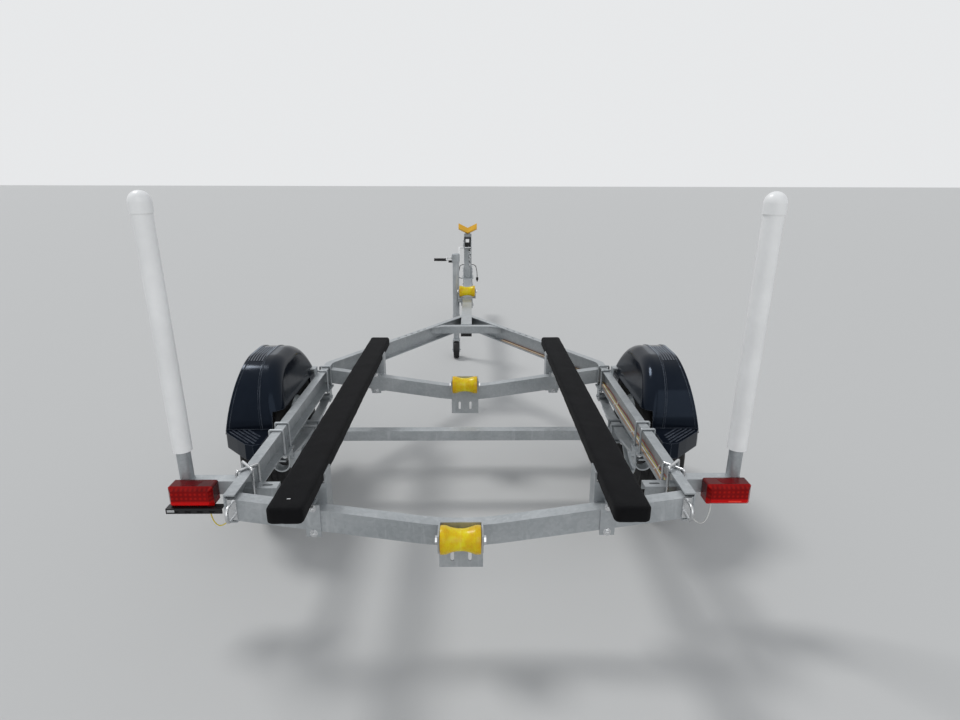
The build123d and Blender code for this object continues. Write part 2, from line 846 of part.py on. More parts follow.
# Fenders: a moulded arch that narrows upwards, with a rolled shoulder on its inner side
def leaning_plane(foot_x, foot_z, lean, run, shift=0):
    """A plane along Y that leans with height, moved along its own normal."""
    normal = Vector(run, 0, -lean).normalized()
    return Plane(origin=Vector(foot_x, 0, foot_z) + normal * shift, z_dir=normal)


fender_run = fender_top - fender_ledge
arch_ends = fender_half_flat + fender_radius
shell_low_x = rail_x - fender_inner_offset
outer_lean = (fender_outer_x, fender_ledge, -fender_outer_lean, fender_run)
inner_lean = (rail_x + fender_inner_offset, fender_inner_foot, fender_inner_lean, fender_inner_run)
crease_lean = (rail_x + fender_crease_offset, fender_ledge, fender_crease_lean, fender_run)


def arch_block(grow, floor):
    """The arch's side outline, grown all round, carried down to a floor and across the fender."""
    top = fender_centre_height + fender_radius + grow
    reach = arch_ends + grow
    bow = (fender_radius + grow) * cos(radians(45))
    with BuildPart() as block:
        with BuildSketch(Plane.YZ.offset(shell_low_x)):
            with BuildLine():
                ThreePointArc(
                    (y_fender - reach, fender_centre_height),
                    (y_fender - fender_half_flat - bow, fender_centre_height + bow),
                    (y_fender - fender_half_flat, top),
                )
                Line((y_fender - fender_half_flat, top), (y_fender + fender_half_flat, top))
                ThreePointArc(
                    (y_fender + fender_half_flat, top),
                    (y_fender + fender_half_flat + bow, fender_centre_height + bow),
                    (y_fender + reach, fender_centre_height),
                )
                Polyline(
                    (y_fender + reach, fender_centre_height),
                    (y_fender + reach, floor),
                    (y_fender - reach, floor),
                    (y_fender - reach, fender_centre_height),
                )
            make_face()
        extrude(amount=fender_outer_x + fender_outer_lean - shell_low_x)
    return block.part


def arch_solid(inset, floor):
    """The arch between its leaning sides, its inner edge rolled, and all of it inset."""
    inner_plane = leaning_plane(*inner_lean, shift=inset)
    with BuildPart() as solid:
        add(arch_block(-inset, floor))
        split(bisect_by=leaning_plane(*outer_lean, shift=-inset), keep=Keep.BOTTOM)
        split(bisect_by=inner_plane, keep=Keep.TOP)
        inner_face = solid.faces().sort_by(lambda face: abs(inner_plane.to_local_coords(face.center()).Z))[0]
        rim_edges = [edge for edge in inner_face.edges() if edge.center().Z > floor + fender_wall]
        fillet(rim_edges, fender_shoulder - inset)
    return solid.part


def arch_opening():
    """What is open on the arch's outer side, inside its lip."""
    with BuildPart() as opening:
        add(arch_block(-fender_lip, fender_centre_height - step_drop))
        split(bisect_by=leaning_plane(*outer_lean, shift=-fender_lip), keep=Keep.TOP)
    return opening.part


def arch_ridge(lean, low, high):
    """A low ridge on the arch between two planes that lean alike."""
    with BuildPart() as ridge:
        add(arch_block(ridge_rise, fender_centre_height - fender_wall))
        add(arch_block(-fender_wall / 2, fender_centre_height - 2 * fender_wall), mode=Mode.SUBTRACT)
        split(bisect_by=leaning_plane(*lean, shift=low), keep=Keep.TOP)
        split(bisect_by=leaning_plane(*lean, shift=high), keep=Keep.BOTTOM)
    return ridge.part


with BuildPart() as step:
    plan = [(rail_x + out, y_fender - back) for out, back in step_plan]
    inboard = rail_x + fender_skirt_offset
    plan = [(fender_outer_x, y_fender - step_joint), *plan, (inboard, y_fender - step_joint)]
    with BuildSketch(Plane.XY.offset(fender_ledge - step_drop)):
        Polygon(*plan, align=None)
    extrude(amount=step_drop)
    with BuildSketch(Plane.XY.offset(fender_ledge - step_drop)):
        Polygon(*plan, align=None)
        offset(amount=-fender_wall, kind=Kind.INTERSECTION, mode=Mode.REPLACE)
    extrude(amount=step_drop - fender_wall, mode=Mode.SUBTRACT)
    lip_start = Vector(*plan[2])
    lip_end = Vector(*plan[4])
    lip_turn = degrees(atan2(lip_end.Y - lip_start.Y, lip_end.X - lip_start.X))
    lip_middle = (lip_start + lip_end) / 2
    with BuildSketch(Plane.XY.offset(fender_ledge)):
        for row in range(step_rib_count):
            inward = Vector(0, 1, 0) * (step_rib_margin + row * step_rib_pitch) * sqrt(2)
            with Locations(Location(lip_middle + inward, (0, 0, lip_turn))):
                Rectangle(4 * step_drop, step_rib_width)
        with BuildSketch(mode=Mode.INTERSECT):
            Polygon(*plan, align=None)
            offset(amount=-step_rib_margin, kind=Kind.INTERSECTION, mode=Mode.REPLACE)
    extrude(amount=step_rib_rise)
    with Locations((inboard, y_fender - tab_setback, fender_ledge - fender_wall - tab_thickness / 2)):
        Box(4 * fender_wall, tab_width + 2, tab_thickness, mode=Mode.SUBTRACT)

middle = Plane.XZ.offset(-y_fender)
with BuildPart() as fender:
    add(arch_solid(0, fender_centre_height - fender_wall))
    add(arch_solid(fender_wall, fender_centre_height - step_drop), mode=Mode.SUBTRACT)
    add(arch_opening(), mode=Mode.SUBTRACT)
    with Locations(((inboard + shell_low_x) / 2, y_fender, fender_inner_foot)):
        Box(
            inboard - shell_low_x,
            2 * arch_ends + 2 * fender_wall,
            fender_inner_foot - fender_centre_height + 2 * fender_wall,
            align=(Align.CENTER, Align.CENTER, Align.MAX),
            mode=Mode.SUBTRACT,
        )
    add(arch_ridge(outer_lean, -edge_ridge_width, 0))
    add(arch_ridge(crease_lean, -crease_ridge_width / 2, crease_ridge_width / 2))
    pad_middle = (fender_outer_x - fender_outer_lean + rail_x + fender_crease_offset + fender_crease_lean) / 2
    with Locations((pad_middle, y_fender, fender_top)):
        with GridLocations(pad_rib_pitch, 0, pad_rib_count, 1):
            Box(pad_rib_width, 2 * fender_half_flat, 2 * pad_rib_rise)
    add(step.part)
    add(mirror(step.part, about=middle, mode=Mode.PRIVATE))
save(fender.part, "fender_right")
save(mirrored(fender.part), "fender_left")

# Arms from the rails: a tab under each step and a bracket against the inner wall
with BuildPart() as tab:
    tab_top = fender_ledge - fender_wall
    with Locations((rail_x + tab_reach / 2, y_fender - tab_setback, tab_top - tab_thickness / 2)):
        Box(tab_reach, tab_width, tab_thickness)
    with Locations((rail_x + tab_thickness / 2, y_fender - tab_setback, tab_top - tab_flange / 2)):
        Box(tab_thickness, tab_width, tab_flange)
with BuildPart() as arms:
    add(tab.part)
    add(mirror(tab.part, about=middle, mode=Mode.PRIVATE))
    y_bracket = y_fender + bracket_setback
    with Locations((rail_x + tab_thickness / 2, y_bracket, (bracket_top + bracket_foot) / 2)):
        Box(tab_thickness, tab_width, bracket_top - bracket_foot)
    with Locations((rail_x + tab_flange, y_bracket, bracket_top - tab_thickness / 2)):
        Box(2 * tab_flange, tab_width, tab_thickness)
    split(bisect_by=leaning_plane(*inner_lean), keep=Keep.BOTTOM)
save(arms.part + mirrored(arms.part), "fender_arms")

# Guide bars stand out from flange plates on the rails, with a backing channel inside
bar_top = guide_bar_top
bar_bottom = bar_top - guide_bar_size
bar_z = (bar_top + bar_bottom) / 2
bar_length = bar_outer_x - rail_x - bar_flange
bar_inside = guide_bar_size - 2 * guide_bar_wall
with BuildPart() as bar:
    with BuildSketch(Plane.YZ.offset(rail_x + bar_flange)):
        with Locations((y_guide_bar, bar_z)):
            Rectangle(guide_bar_size, guide_bar_size)
            Rectangle(bar_inside, bar_inside, mode=Mode.SUBTRACT)
    extrude(amount=bar_length)
    with Locations((rail_x + bar_flange / 2, y_guide_bar, bar_z)):
        Box(bar_flange, bar_flange_width, bar_flange_height)
with BuildPart() as backing:
    with BuildSketch(Plane.YZ.offset(web_x - backing_reach)):
        with Locations((y_guide_bar, rail_bottom + rail_wall + backing_height / 2)):
            Rectangle(guide_bar_size, backing_height)
        with Locations((y_guide_bar, rail_bottom + rail_wall + (backing_height - backing_wall) / 2)):
            Rectangle(guide_bar_size - 2 * backing_wall, backing_height - backing_wall, mode=Mode.SUBTRACT)
    extrude(amount=backing_reach)
    slot_x = web_x - backing_reach + backing_slot_length
    with BuildSketch(Plane.XY.offset(rail_bottom + rail_wall)):
        with Locations((slot_x, y_guide_bar)):
            SlotOverall(backing_slot_length, backing_slot_width)
    extrude(amount=backing_height, mode=Mode.SUBTRACT)
bars = bar.part + backing.part
save(bars + mirrored(bars), "guide_bars")

# Pairs of U-bolts cross over the rails and hold the bars' plates
clamp_half = guide_bar_size / 2 + clamp_rod_radius + clamp_plate / 5
with BuildPart() as clamps:
    with Locations((clamp_mid_x, y_guide_bar, rail_bottom - clamp_plate / 2)):
        Box(clamp_plate_width, 2 * (clamp_half + clamp_rod_radius + clamp_plate_margin), clamp_plate)
    add(u_bolt(y_guide_bar - clamp_half, y_guide_bar + clamp_half))
    add(u_bolt(y_guide_bar + clamp_half, y_guide_bar - clamp_half, 2 * clamp_rod_radius + clamp_clearance))
save(clamps.part + mirrored(clamps.part), "bar_clamps")

# Guide posts lean out a little: a steel pipe on each bar, a white sleeve over it and a domed cap
post_place = Location((post_x, y_guide_bar, bar_top), (0, post_lean, 0))
with BuildPart() as pipe:
    with Locations(post_place):
        Cylinder(post_pipe_radius, 2 * post_pipe_length)
        Cylinder(post_pipe_radius - post_pipe_wall, 2 * post_pipe_length, mode=Mode.SUBTRACT)
    split(bisect_by=Plane(origin=(0, 0, bar_top), z_dir=(0, 0, 1)), keep=Keep.TOP)
save(pipe.part + mirrored(pipe.part), "post_pipes")

with BuildPart() as sleeve:
    with BuildSketch(Plane.XY.offset(sleeve_gap)):
        Circle(sleeve_radius)
        Circle(post_pipe_radius, mode=Mode.SUBTRACT)
    extrude(amount=sleeve_length)
placed_sleeve = post_place * sleeve.part
save(placed_sleeve + mirrored(placed_sleeve), "post_sleeves")

with BuildPart() as cap:
    with BuildSketch(Plane.XZ):
        with BuildLine():
            shoulder = cap_height - cap_overlap - cap_radius
            Polyline((sleeve_radius, -cap_overlap), (cap_radius, -cap_overlap), (cap_radius, shoulder))
            ThreePointArc(
                (cap_radius, shoulder),
                (cap_radius * cos(radians(45)), shoulder + cap_radius * sin(radians(45))),
                (0, cap_height - cap_overlap),
            )
            Polyline((0, cap_height - cap_overlap), (0, 0), (sleeve_radius, 0), (sleeve_radius, -cap_overlap))
        make_face()
    revolve(axis=Axis.Z)
placed_cap = post_place * Pos(0, 0, sleeve_gap + sleeve_length) * cap.part
save(placed_cap + mirrored(placed_cap), "post_caps")

# Tail lamps on the bars' rear faces, their lenses bevelled to the rear
y_bar_rear = y_guide_bar - guide_bar_size / 2
lamp_top = bar_top + lamp_above_bar
lamp_z = lamp_top - lamp_height / 2
y_lens = y_bar_rear - lamp_base_depth
y_bevel = y_bar_rear - lamp_depth + lamp_bevel_depth
with BuildPart() as lamp:
    with BuildSketch(Plane.XZ.offset(-y_bar_rear)):
        with Locations((lamp_x, lamp_z)):
            RectangleRounded(lamp_width, lamp_height, lamp_corner)
    extrude(amount=lamp_base_depth)
save(lamp.part + mirrored(lamp.part), "lamp_housings")
with BuildPart() as lens:
    with BuildSketch(Plane.XZ.offset(-y_lens)):
        with Locations((lamp_x, lamp_z)):
            RectangleRounded(lamp_width, lamp_height, lamp_corner)
    extrude(amount=y_lens - y_bevel)
    with BuildSketch(Plane.XZ.offset(-y_bevel)):
        with Locations((lamp_x, lamp_z)):
            RectangleRounded(lamp_width, lamp_height, lamp_corner)
    with BuildSketch(Plane.XZ.offset(lamp_bevel_depth - y_bevel)):
        with Locations((lamp_x, lamp_z)):
            RectangleRounded(lamp_width - 2 * lamp_bevel, lamp_height - 2 * lamp_bevel, lamp_corner)
    loft()
save(lens.part + mirrored(lens.part), "lamp_lenses")

# Number plate holder under the left lamp, slotted along its lip
lamp_bottom = lamp_top - lamp_height
y_holder = y_bevel - plate_holder_depth + lamp_bevel_depth
holder_x = -lamp_x + (plate_holder_width - lamp_width) / 4
with BuildPart() as holder:
    with BuildSketch(Plane.YZ.offset(holder_x - plate_holder_width / 2)):
        with BuildLine():
            Polyline(
                (y_bevel + lamp_bevel_depth, lamp_bottom),
                (y_holder, lamp_bottom),
                (y_holder, lamp_bottom - plate_holder_height),
                (y_holder + plate_holder_wall, lamp_bottom - plate_holder_height),
                (y_holder + plate_holder_wall, lamp_bottom - plate_holder_wall),
                (y_bevel + lamp_bevel_depth, lamp_bottom - plate_holder_wall),
                close=True,
            )
        make_face()
    extrude(amount=plate_holder_width)
    with BuildSketch(Plane.XZ.offset(-y_holder)):
        with Locations((holder_x, lamp_bottom - (plate_holder_height + plate_holder_wall) / 2)):
            with GridLocations(plate_slot_pitch, 0, plate_slot_count, 1):
                SlotOverall(plate_slot_length, plate_slot_width)
    extrude(amount=-plate_holder_wall, mode=Mode.SUBTRACT)
save(holder.part, "plate_holder")

# Carpeted bunks and the angles that carry them
bunk_z = bunk_top - bunk_thickness / 2
with BuildPart() as bunk:
    with BuildSketch(Plane.XZ.offset(overall_length / 2)):
        with Locations((bunk_x, bunk_z)):
            RectangleRounded(bunk_width, bunk_thickness, bunk_corner)
    extrude(amount=-bunk_length)
save(bunk.part, "bunk_right")
save(mirrored(bunk.part), "bunk_left")

bunk_inner_x = bunk_x - bunk_width / 2
angle_x = bunk_inner_x - bunk_angle_gap - bunk_angle_wall
angle_top = bunk_bottom - bunk_angle_gap
with BuildPart() as angles:
    for y_face in (y_rear_member + member_depth / 2, y_front_member + member_depth / 2):
        foot = member_top(bunk_x) - member_full - bunk_angle_drop
        with BuildSketch(Plane.XY.offset(foot)):
            with BuildLine():
                Polyline(
                    (angle_x, y_face),
                    (angle_x + bunk_angle_size, y_face),
                    (angle_x + bunk_angle_size, y_face + bunk_angle_wall),
                    (angle_x + bunk_angle_wall, y_face + bunk_angle_wall),
                    (angle_x + bunk_angle_wall, y_face + bunk_angle_size),
                    (angle_x, y_face + bunk_angle_size),
                    close=True,
                )
            make_face()
        extrude(amount=angle_top - foot)
        with Locations(
            (
                angle_x + bunk_angle_wall / 2,
                y_face + bunk_angle_size / 2,
                angle_top + bunk_angle_overlap / 2,
            )
        ):
            Box(bunk_angle_wall, bunk_angle_size, bunk_angle_overlap)
        clamp_x = angle_x + bunk_angle_size / 2
        high = member_top(clamp_x + bunk_bolt_radius) + bunk_bolt_radius + bunk_bolt_gap
        low = member_top(clamp_x - bunk_bolt_radius) - member_full - bunk_bolt_radius - bunk_bolt_gap
        y_clamp = y_face - member_depth - bunk_angle_wall
        with Locations((clamp_x, y_clamp + bunk_angle_wall / 2, (high + low) / 2)):
            Box(bunk_clamp_width, bunk_angle_wall, high - low + bunk_clamp_margin)
        for height in (high, low):
            with Locations(Location((clamp_x, y_clamp - bunk_angle_wall, height), (-90, 0, 0))):
                Cylinder(
                    bunk_bolt_radius,
                    member_depth + 4 * bunk_angle_wall,
                    align=(Align.CENTER, Align.CENTER, Align.MIN),
                )
save(angles.part + mirrored(angles.part), "bunk_angles")


# Keel rollers, spool shaped, each on a pin in its bracket
def roller(y_middle, z_middle):
    """A spool revolved about its pin."""
    half = roller_length / 2
    with BuildPart() as spool:
        with BuildSketch(Plane.XZ):
            with BuildLine():
                ends = Polyline(
                    (-half, roller_pin_radius + roller_pin_clearance),
                    (-half, roller_end_radius),
                    (-half * roller_flat, roller_end_radius),
                )
                other = Polyline(
                    (half * roller_flat, roller_end_radius),
                    (half, roller_end_radius),
                    (half, roller_pin_radius + roller_pin_clearance),
                )
                ThreePointArc(ends @ 1, (0, roller_waist_radius), other @ 0)
                Line(other @ 1, ends @ 0)
            make_face()
        revolve(axis=Axis.X)
    return Pos(0, y_middle, z_middle) * spool.part


tongue_roller_height = frame_top + roller_plate + roller_floor_gap + roller_end_radius
y_rear_roller = y_rear_face - roller_plate - roller_back_gap - roller_end_radius
y_front_roller = y_front_member - member_depth / 2 - roller_plate - roller_back_gap - roller_end_radius
save(roller(y_rear_roller, rear_roller_height), "rear_roller")
save(roller(y_front_roller, front_roller_height), "front_roller")
save(roller(y_tongue_roller, tongue_roller_height), "tongue_roller")

ear_x = roller_length / 2 + roller_side_gap
ear_top = tongue_roller_height + roller_ear_rise


def hanging_bracket(y_roller, z_roller):
    """Two ears and a slotted back plate that hangs over a crossmember's rear face."""
    y_face = y_roller + roller_end_radius + roller_back_gap + roller_plate
    back_low = member_top(0) - member_height - slot_plate_drop
    with BuildPart() as bracket:
        with BuildSketch(Plane.XZ.offset(-y_face)):
            with Locations((0, (z_roller + roller_plate_width / 2 + back_low) / 2)):
                Rectangle(2 * (ear_x + roller_plate), z_roller + roller_plate_width / 2 - back_low)
            with Locations((-slot_spacing / 2, back_low + slot_length), (slot_spacing / 2, back_low + slot_length)):
                SlotOverall(slot_length, slot_width, rotation=90, mode=Mode.SUBTRACT)
        extrude(amount=roller_plate)
        for side in (-1, 1):
            with Locations(
                (
                    side * (ear_x + roller_plate / 2),
                    (y_face - roller_plate + y_roller - roller_plate_width / 2) / 2,
                    z_roller,
                )
            ):
                Box(
                    roller_plate,
                    y_face - roller_plate - y_roller + roller_plate_width / 2,
                    roller_plate_width,
                )
        with Locations(Location((0, y_roller, z_roller), (0, 90, 0))):
            Cylinder(roller_pin_radius, 2 * (ear_x + roller_plate + roller_pin_overhang))
    return bracket.part


with BuildPart() as tongue_bracket:
    with Locations((0, y_tongue_roller, frame_top + roller_plate / 2)):
        Box(2 * (ear_x + roller_plate), roller_plate_width, roller_plate)
    for side in (-1, 1):
        with Locations((side * (ear_x + roller_plate / 2), y_tongue_roller, (frame_top + ear_top) / 2)):
            Box(roller_plate, roller_plate_width, ear_top - frame_top)
    with Locations(Location((0, y_tongue_roller, tongue_roller_height), (0, 90, 0))):
        Cylinder(roller_pin_radius, 2 * (ear_x + roller_plate + roller_pin_overhang))
rear_bracket = hanging_bracket(y_rear_roller, rear_roller_height)
front_bracket = hanging_bracket(y_front_roller, front_roller_height)
save(rear_bracket + front_bracket + tongue_bracket.part, "roller_brackets")

# Winch stand: a square post clamped to the tongue, with a seat for the bow stop on top
y_post_rear = y_stand - post_size / 2
stand_foot = tongue_bottom - 3 * stand_bolt_radius
tilt = radians(bow_stop_tilt)
bow_face = Plane(origin=(0, y_post_rear, bow_stop_centre), x_dir=(1, 0, 0), z_dir=(0, -cos(tilt), sin(tilt)))
seat_rise = bow_stop_height / 4
with BuildPart() as stand:
    with BuildSketch(Plane.XY.offset(frame_top)):
        with Locations((0, y_stand)):
            Rectangle(post_size, post_size)
            Rectangle(post_size - 2 * post_wall, post_size - 2 * post_wall, mode=Mode.SUBTRACT)
    extrude(amount=post_top - frame_top)
    for side in (-1, 1):
        with Locations(
            (side * (post_size + stand_plate) / 2, y_stand, (frame_top + stand_plate_rise + stand_foot) / 2)
        ):
            Box(stand_plate, stand_plate_length, frame_top + stand_plate_rise - stand_foot)
    with Locations((0, y_stand, frame_top + stand_plate / 2)):
        Box(post_size + 2 * stand_foot_overhang, stand_plate_length, stand_plate)
    for side in (-1, 1):
        y_rod = y_stand + side * (stand_plate_length / 2 - stand_bolt_inset)
        x_rod = tongue_half + stand_plate
        with Locations(Location((0, y_rod, tongue_bottom - stand_bolt_radius), (0, 90, 0))):
            Cylinder(stand_bolt_radius, 2 * x_rod)
    stud_reach = link_width + chain_gap + 2 * chain_stud_radius
    stud_z = chain_top - 2 * link_radius - chain_stud_radius
    with Locations(Location((chain_x, y_post_rear + post_wall, stud_z), (90, 0, 0))):
        Cylinder(chain_stud_radius, stud_reach + post_wall, align=(Align.CENTER, Align.CENTER, Align.MIN))
    with BuildSketch(Plane.YZ.offset(-bow_bracket_width / 2)):
        with BuildLine():
            Polyline(
                (y_post_rear, post_top),
                (y_post_rear, bow_stop_centre),
                (y_post_rear + seat_rise * sin(tilt), bow_stop_centre + seat_rise * cos(tilt)),
                (y_post_rear + post_size, post_top),
                close=True,
            )
        make_face()
    extrude(amount=bow_bracket_width)
save(stand.part, "winch_stand")

# Winch frame on the post's rear face, with its drum and crank
y_winch = y_post_rear - winch_depth / 2
y_crank = y_winch - crank_shaft_back
crank_z = winch_centre_height - crank_shaft_drop
winch_top = winch_centre_height + winch_height / 2
winch_bottom = winch_centre_height - winch_height / 2
winch_inside = winch_width / 2 - winch_plate
with BuildPart() as winch_frame:
    for side in (-1, 1):
        with BuildSketch(Plane.YZ.offset(side * (winch_width - winch_plate) / 2 - winch_plate / 2)):
            with BuildLine():
                Polyline(
                    (y_post_rear, winch_bottom),
                    (y_post_rear - winch_depth + winch_shoulder / 2, winch_bottom),
                    (y_post_rear - winch_depth, winch_bottom + winch_shoulder / 2),
                    (y_post_rear - winch_depth, winch_top - winch_shoulder),
                    (y_post_rear - winch_depth + winch_shoulder, winch_top),
                    (y_post_rear, winch_top),
                    close=True,
                )
            make_face()
        extrude(amount=winch_plate)
    with Locations((0, y_post_rear - winch_plate / 2, winch_centre_height)):
        Box(winch_width, winch_plate, winch_height)
    y_rod = y_post_rear - winch_depth + winch_shoulder / 2
    with Locations(Location((0, y_rod, winch_top - winch_shoulder), (0, 90, 0))):
        Cylinder(winch_rod_radius, winch_width + 2 * winch_rod_radius)
    with Locations(Location((0, y_winch, winch_centre_height), (0, 90, 0))):
        Cylinder(drum_clearance + shaft_radius, winch_width, mode=Mode.SUBTRACT)
    with Locations(Location((0, y_crank, crank_z), (0, 90, 0))):
        Cylinder(crank_shaft_radius + drum_clearance, winch_width, mode=Mode.SUBTRACT)
save(winch_frame.part, "winch_frame")
drum_half = winch_inside - winch_play
with BuildPart() as drum:
    with Locations(Location((0, y_winch, winch_centre_height), (0, 90, 0))):
        Cylinder(drum_radius, 2 * drum_half)
        Cylinder(shaft_radius, winch_width + 2 * winch_rod_radius)
    with Locations(Location((-drum_half, y_winch, winch_centre_height), (0, 90, 0))):
        Cylinder(gear_radius, gear_width, align=(Align.CENTER, Align.CENTER, Align.MIN))
save(drum.part, "winch_drum")
crank_x = -winch_width / 2 - crank_arm_gap
crank_mid_x = crank_x - crank_arm_thickness / 2
crank_turn = radians(crank_rest_turn)
y_grip = y_crank - crank_arm_length * sin(crank_turn)
grip_z = crank_z - crank_arm_length * cos(crank_turn)
with BuildPart() as crank:
    with Locations(Location((crank_mid_x, y_crank, crank_z), (0, 90, 0))):
        Cylinder(
            crank_shaft_radius,
            winch_width / 2 + crank_end - crank_mid_x,
            align=(Align.CENTER, Align.CENTER, Align.MIN),
        )
    with Locations(Location((-drum_half, y_crank, crank_z), (0, 90, 0))):
        Cylinder(pinion_radius, pinion_width, align=(Align.CENTER, Align.CENTER, Align.MIN))
    with BuildSketch(Plane.YZ.offset(crank_x - crank_arm_thickness)):
        with Locations(Location(((y_crank + y_grip) / 2, (crank_z + grip_z) / 2), 90 - crank_rest_turn)):
            SlotOverall(crank_arm_length + crank_arm_width, crank_arm_width)
    extrude(amount=crank_arm_thickness)
save(crank.part, "winch_crank")
with BuildPart() as grip:
    with Locations(Location((crank_x - crank_arm_thickness, y_grip, grip_z), (0, -90, 0))):
        Cylinder(grip_radius, grip_length, align=(Align.CENTER, Align.CENTER, Align.MIN))
save(grip.part, "winch_grip")

# Strap hook parked against the winch's left plate
hook_x = -winch_width / 2 - hook_radius
y_hook = y_post_rear - hook_back
with BuildPart() as hook:
    with BuildLine() as hook_path:
        FilletPolyline(
            (hook_x, y_hook, hook_top),
            (hook_x, y_hook, hook_top - hook_length),
            (hook_x, y_hook - 2 * hook_bend, hook_top - hook_length),
            (hook_x, y_hook - 2 * hook_bend, hook_top - hook_length + hook_bend + hook_radius),
            radius=hook_bend - 1,
        )
    with BuildSketch(Plane(origin=hook_path.line @ 0, z_dir=(0, 0, 1))):
        Circle(hook_radius)
    sweep(path=hook_path.line)
    with Locations(Location((hook_x, y_hook, hook_top), (0, 90, 0))):
        Cylinder(hook_bend, 2 * hook_radius)
save(hook.part, "strap_hook")

# Safety chain that hangs from a stud on the post's rear face
y_chain = y_post_rear - link_width / 2 - chain_gap
with BuildPart() as link:
    with BuildLine() as link_path:
        run = (link_length - link_width) / 2
        bend = link_width / 2 - link_radius
        upper = CenterArc((0, run), bend, 0, 180)
        lower = CenterArc((0, -run), bend, 180, 180)
        Line(upper @ 1, lower @ 0)
        Line(lower @ 1, upper @ 0)
    with BuildSketch(Plane(origin=link_path.wires()[0] @ 0, z_dir=link_path.wires()[0] % 0)):
        Circle(link_radius)
    sweep(path=link_path.wires()[0])
links = []
for row in range(link_count):
    link_z = chain_top - link_length / 2 - row * (link_length - 4 * link_radius)
    quarter = Rot(0, 0, 90 * (row % 2)) * Rot(90, 0, 0)
    links.append(Pos(chain_x, y_chain, link_z) * quarter * link.part)
save(Compound(children=links), "safety_chain")

# Bow stop: two wings of a moulded V on top of the post
with BuildPart() as bow_stop:
    rise = bow_stop_wing * tan(radians(bow_stop_rise))
    with BuildSketch(bow_face):
        with BuildLine():
            Polyline(
                (0, -bow_stop_height / 2),
                (bow_stop_wing, rise - bow_stop_height / 2),
                (bow_stop_wing, rise + bow_stop_height / 4),
                (0, bow_stop_height / 4),
                (-bow_stop_wing, rise + bow_stop_height / 4),
                (-bow_stop_wing, rise - bow_stop_height / 2),
                close=True,
            )
        make_face()
    extrude(amount=bow_stop_thickness)
save(bow_stop.part, "bow_stop")

# Swing-up jack beside the tongue
jack_x = -(tongue_half + jack_plate + jack_pin_length + jack_tube_radius)
with BuildPart() as jack_mount:
    for side in (-1, 1):
        with Locations((side * (tongue_half + jack_plate / 2), y_jack, jack_pivot_height - jack_plate_drop / 2)):
            Box(jack_plate, jack_plate_size, jack_plate_size + jack_plate_drop)
    with Locations(Location((-tongue_half - jack_plate, y_jack, jack_pivot_height), (0, -90, 0))):
        Cylinder(jack_pin_radius, jack_pin_length - jack_pin_clear, align=(Align.CENTER, Align.CENTER, Align.MIN))
    for side in (-1, 1):
        y_bolt = y_jack + side * (jack_plate_size / 2 - jack_bolt_inset)
        with Locations(Location((0, y_bolt, tongue_bottom - stand_bolt_radius), (0, 90, 0))):
            Cylinder(stand_bolt_radius, 2 * (tongue_half + jack_plate + stand_bolt_radius))
save(jack_mount.part, "jack_mount")
jack_face_x = -tongue_half - jack_plate - jack_seat_gap
with BuildPart() as jack_tube:
    with Locations((jack_x, y_jack, (jack_tube_bottom + jack_tube_top) / 2)):
        Cylinder(jack_tube_radius, jack_tube_top - jack_tube_bottom)
    with Locations((jack_x, y_jack, jack_tube_top - jack_head_height / 2)):
        Cylinder(jack_head_radius, jack_head_height)
    fillet(jack_tube.edges().group_by(Axis.Z)[-1], jack_cap_rise)
    with Locations(Location((jack_x, y_jack, jack_tube_top - jack_head_height / 2), (0, -90, 0))):
        Cylinder(jack_boss_radius, jack_boss_x, align=(Align.CENTER, Align.CENTER, Align.MIN))
    with Locations((jack_x, y_jack, jack_tube_bottom + jack_foot_collar / 2)):
        Cylinder(jack_tube_radius + jack_collar_side, jack_foot_collar)
    with Locations(Location((jack_face_x, y_jack, jack_pivot_height), (0, -90, 0))):
        Cylinder(jack_collar_radius, jack_pin_length + jack_cap_rise, align=(Align.CENTER, Align.CENTER, Align.MIN))
        Cylinder(
            jack_pin_radius + jack_pin_clearance,
            jack_pin_length - jack_pin_clear,
            align=(Align.CENTER, Align.CENTER, Align.MIN),
            mode=Mode.SUBTRACT,
        )
    with Locations((jack_x, y_jack, jack_tube_bottom)):
        Cylinder(
            jack_tube_radius - jack_tube_wall,
            jack_tube_top - jack_tube_bottom - jack_head_height,
            align=(Align.CENTER, Align.CENTER, Align.MIN),
            mode=Mode.SUBTRACT,
        )
save(jack_tube.part, "jack_tube")
jack_axis_z = jack_tube_top - jack_head_height / 2
with BuildPart() as jack_crank:
    with Locations(Location((jack_x - jack_boss_x, y_jack, jack_axis_z), (0, -90, 0))):
        Cylinder(crank_shaft_radius, jack_crank_side, align=(Align.CENTER, Align.CENTER, Align.MIN))
    x_arm = jack_x - jack_boss_x - jack_crank_side - crank_arm_thickness / 2
    with BuildSketch(Plane.YZ.offset(x_arm - crank_arm_thickness / 2)):
        with Locations((y_jack - jack_crank_arm / 2, jack_axis_z)):
            SlotOverall(jack_crank_arm + crank_arm_width, crank_arm_width)
    extrude(amount=crank_arm_thickness)
save(jack_crank.part, "jack_crank")
with BuildPart() as jack_grip:
    with Locations(
        Location((x_arm - crank_arm_thickness / 2, y_jack - jack_crank_arm, jack_axis_z), (0, -90, 0))
    ):
        Cylinder(grip_radius, grip_length, align=(Align.CENTER, Align.CENTER, Align.MIN))
save(jack_grip.part, "jack_grip")
leg_radius = jack_tube_radius - jack_tube_wall - leg_clearance
with BuildPart() as leg:
    with Locations((jack_x, y_jack, fork_crown)):
        Cylinder(
            leg_radius,
            jack_tube_bottom - fork_crown + leg_engagement,
            align=(Align.CENTER, Align.CENTER, Align.MIN),
        )
save(leg.part, "jack_leg")
fork_half = caster_width / 2 + caster_side_gap
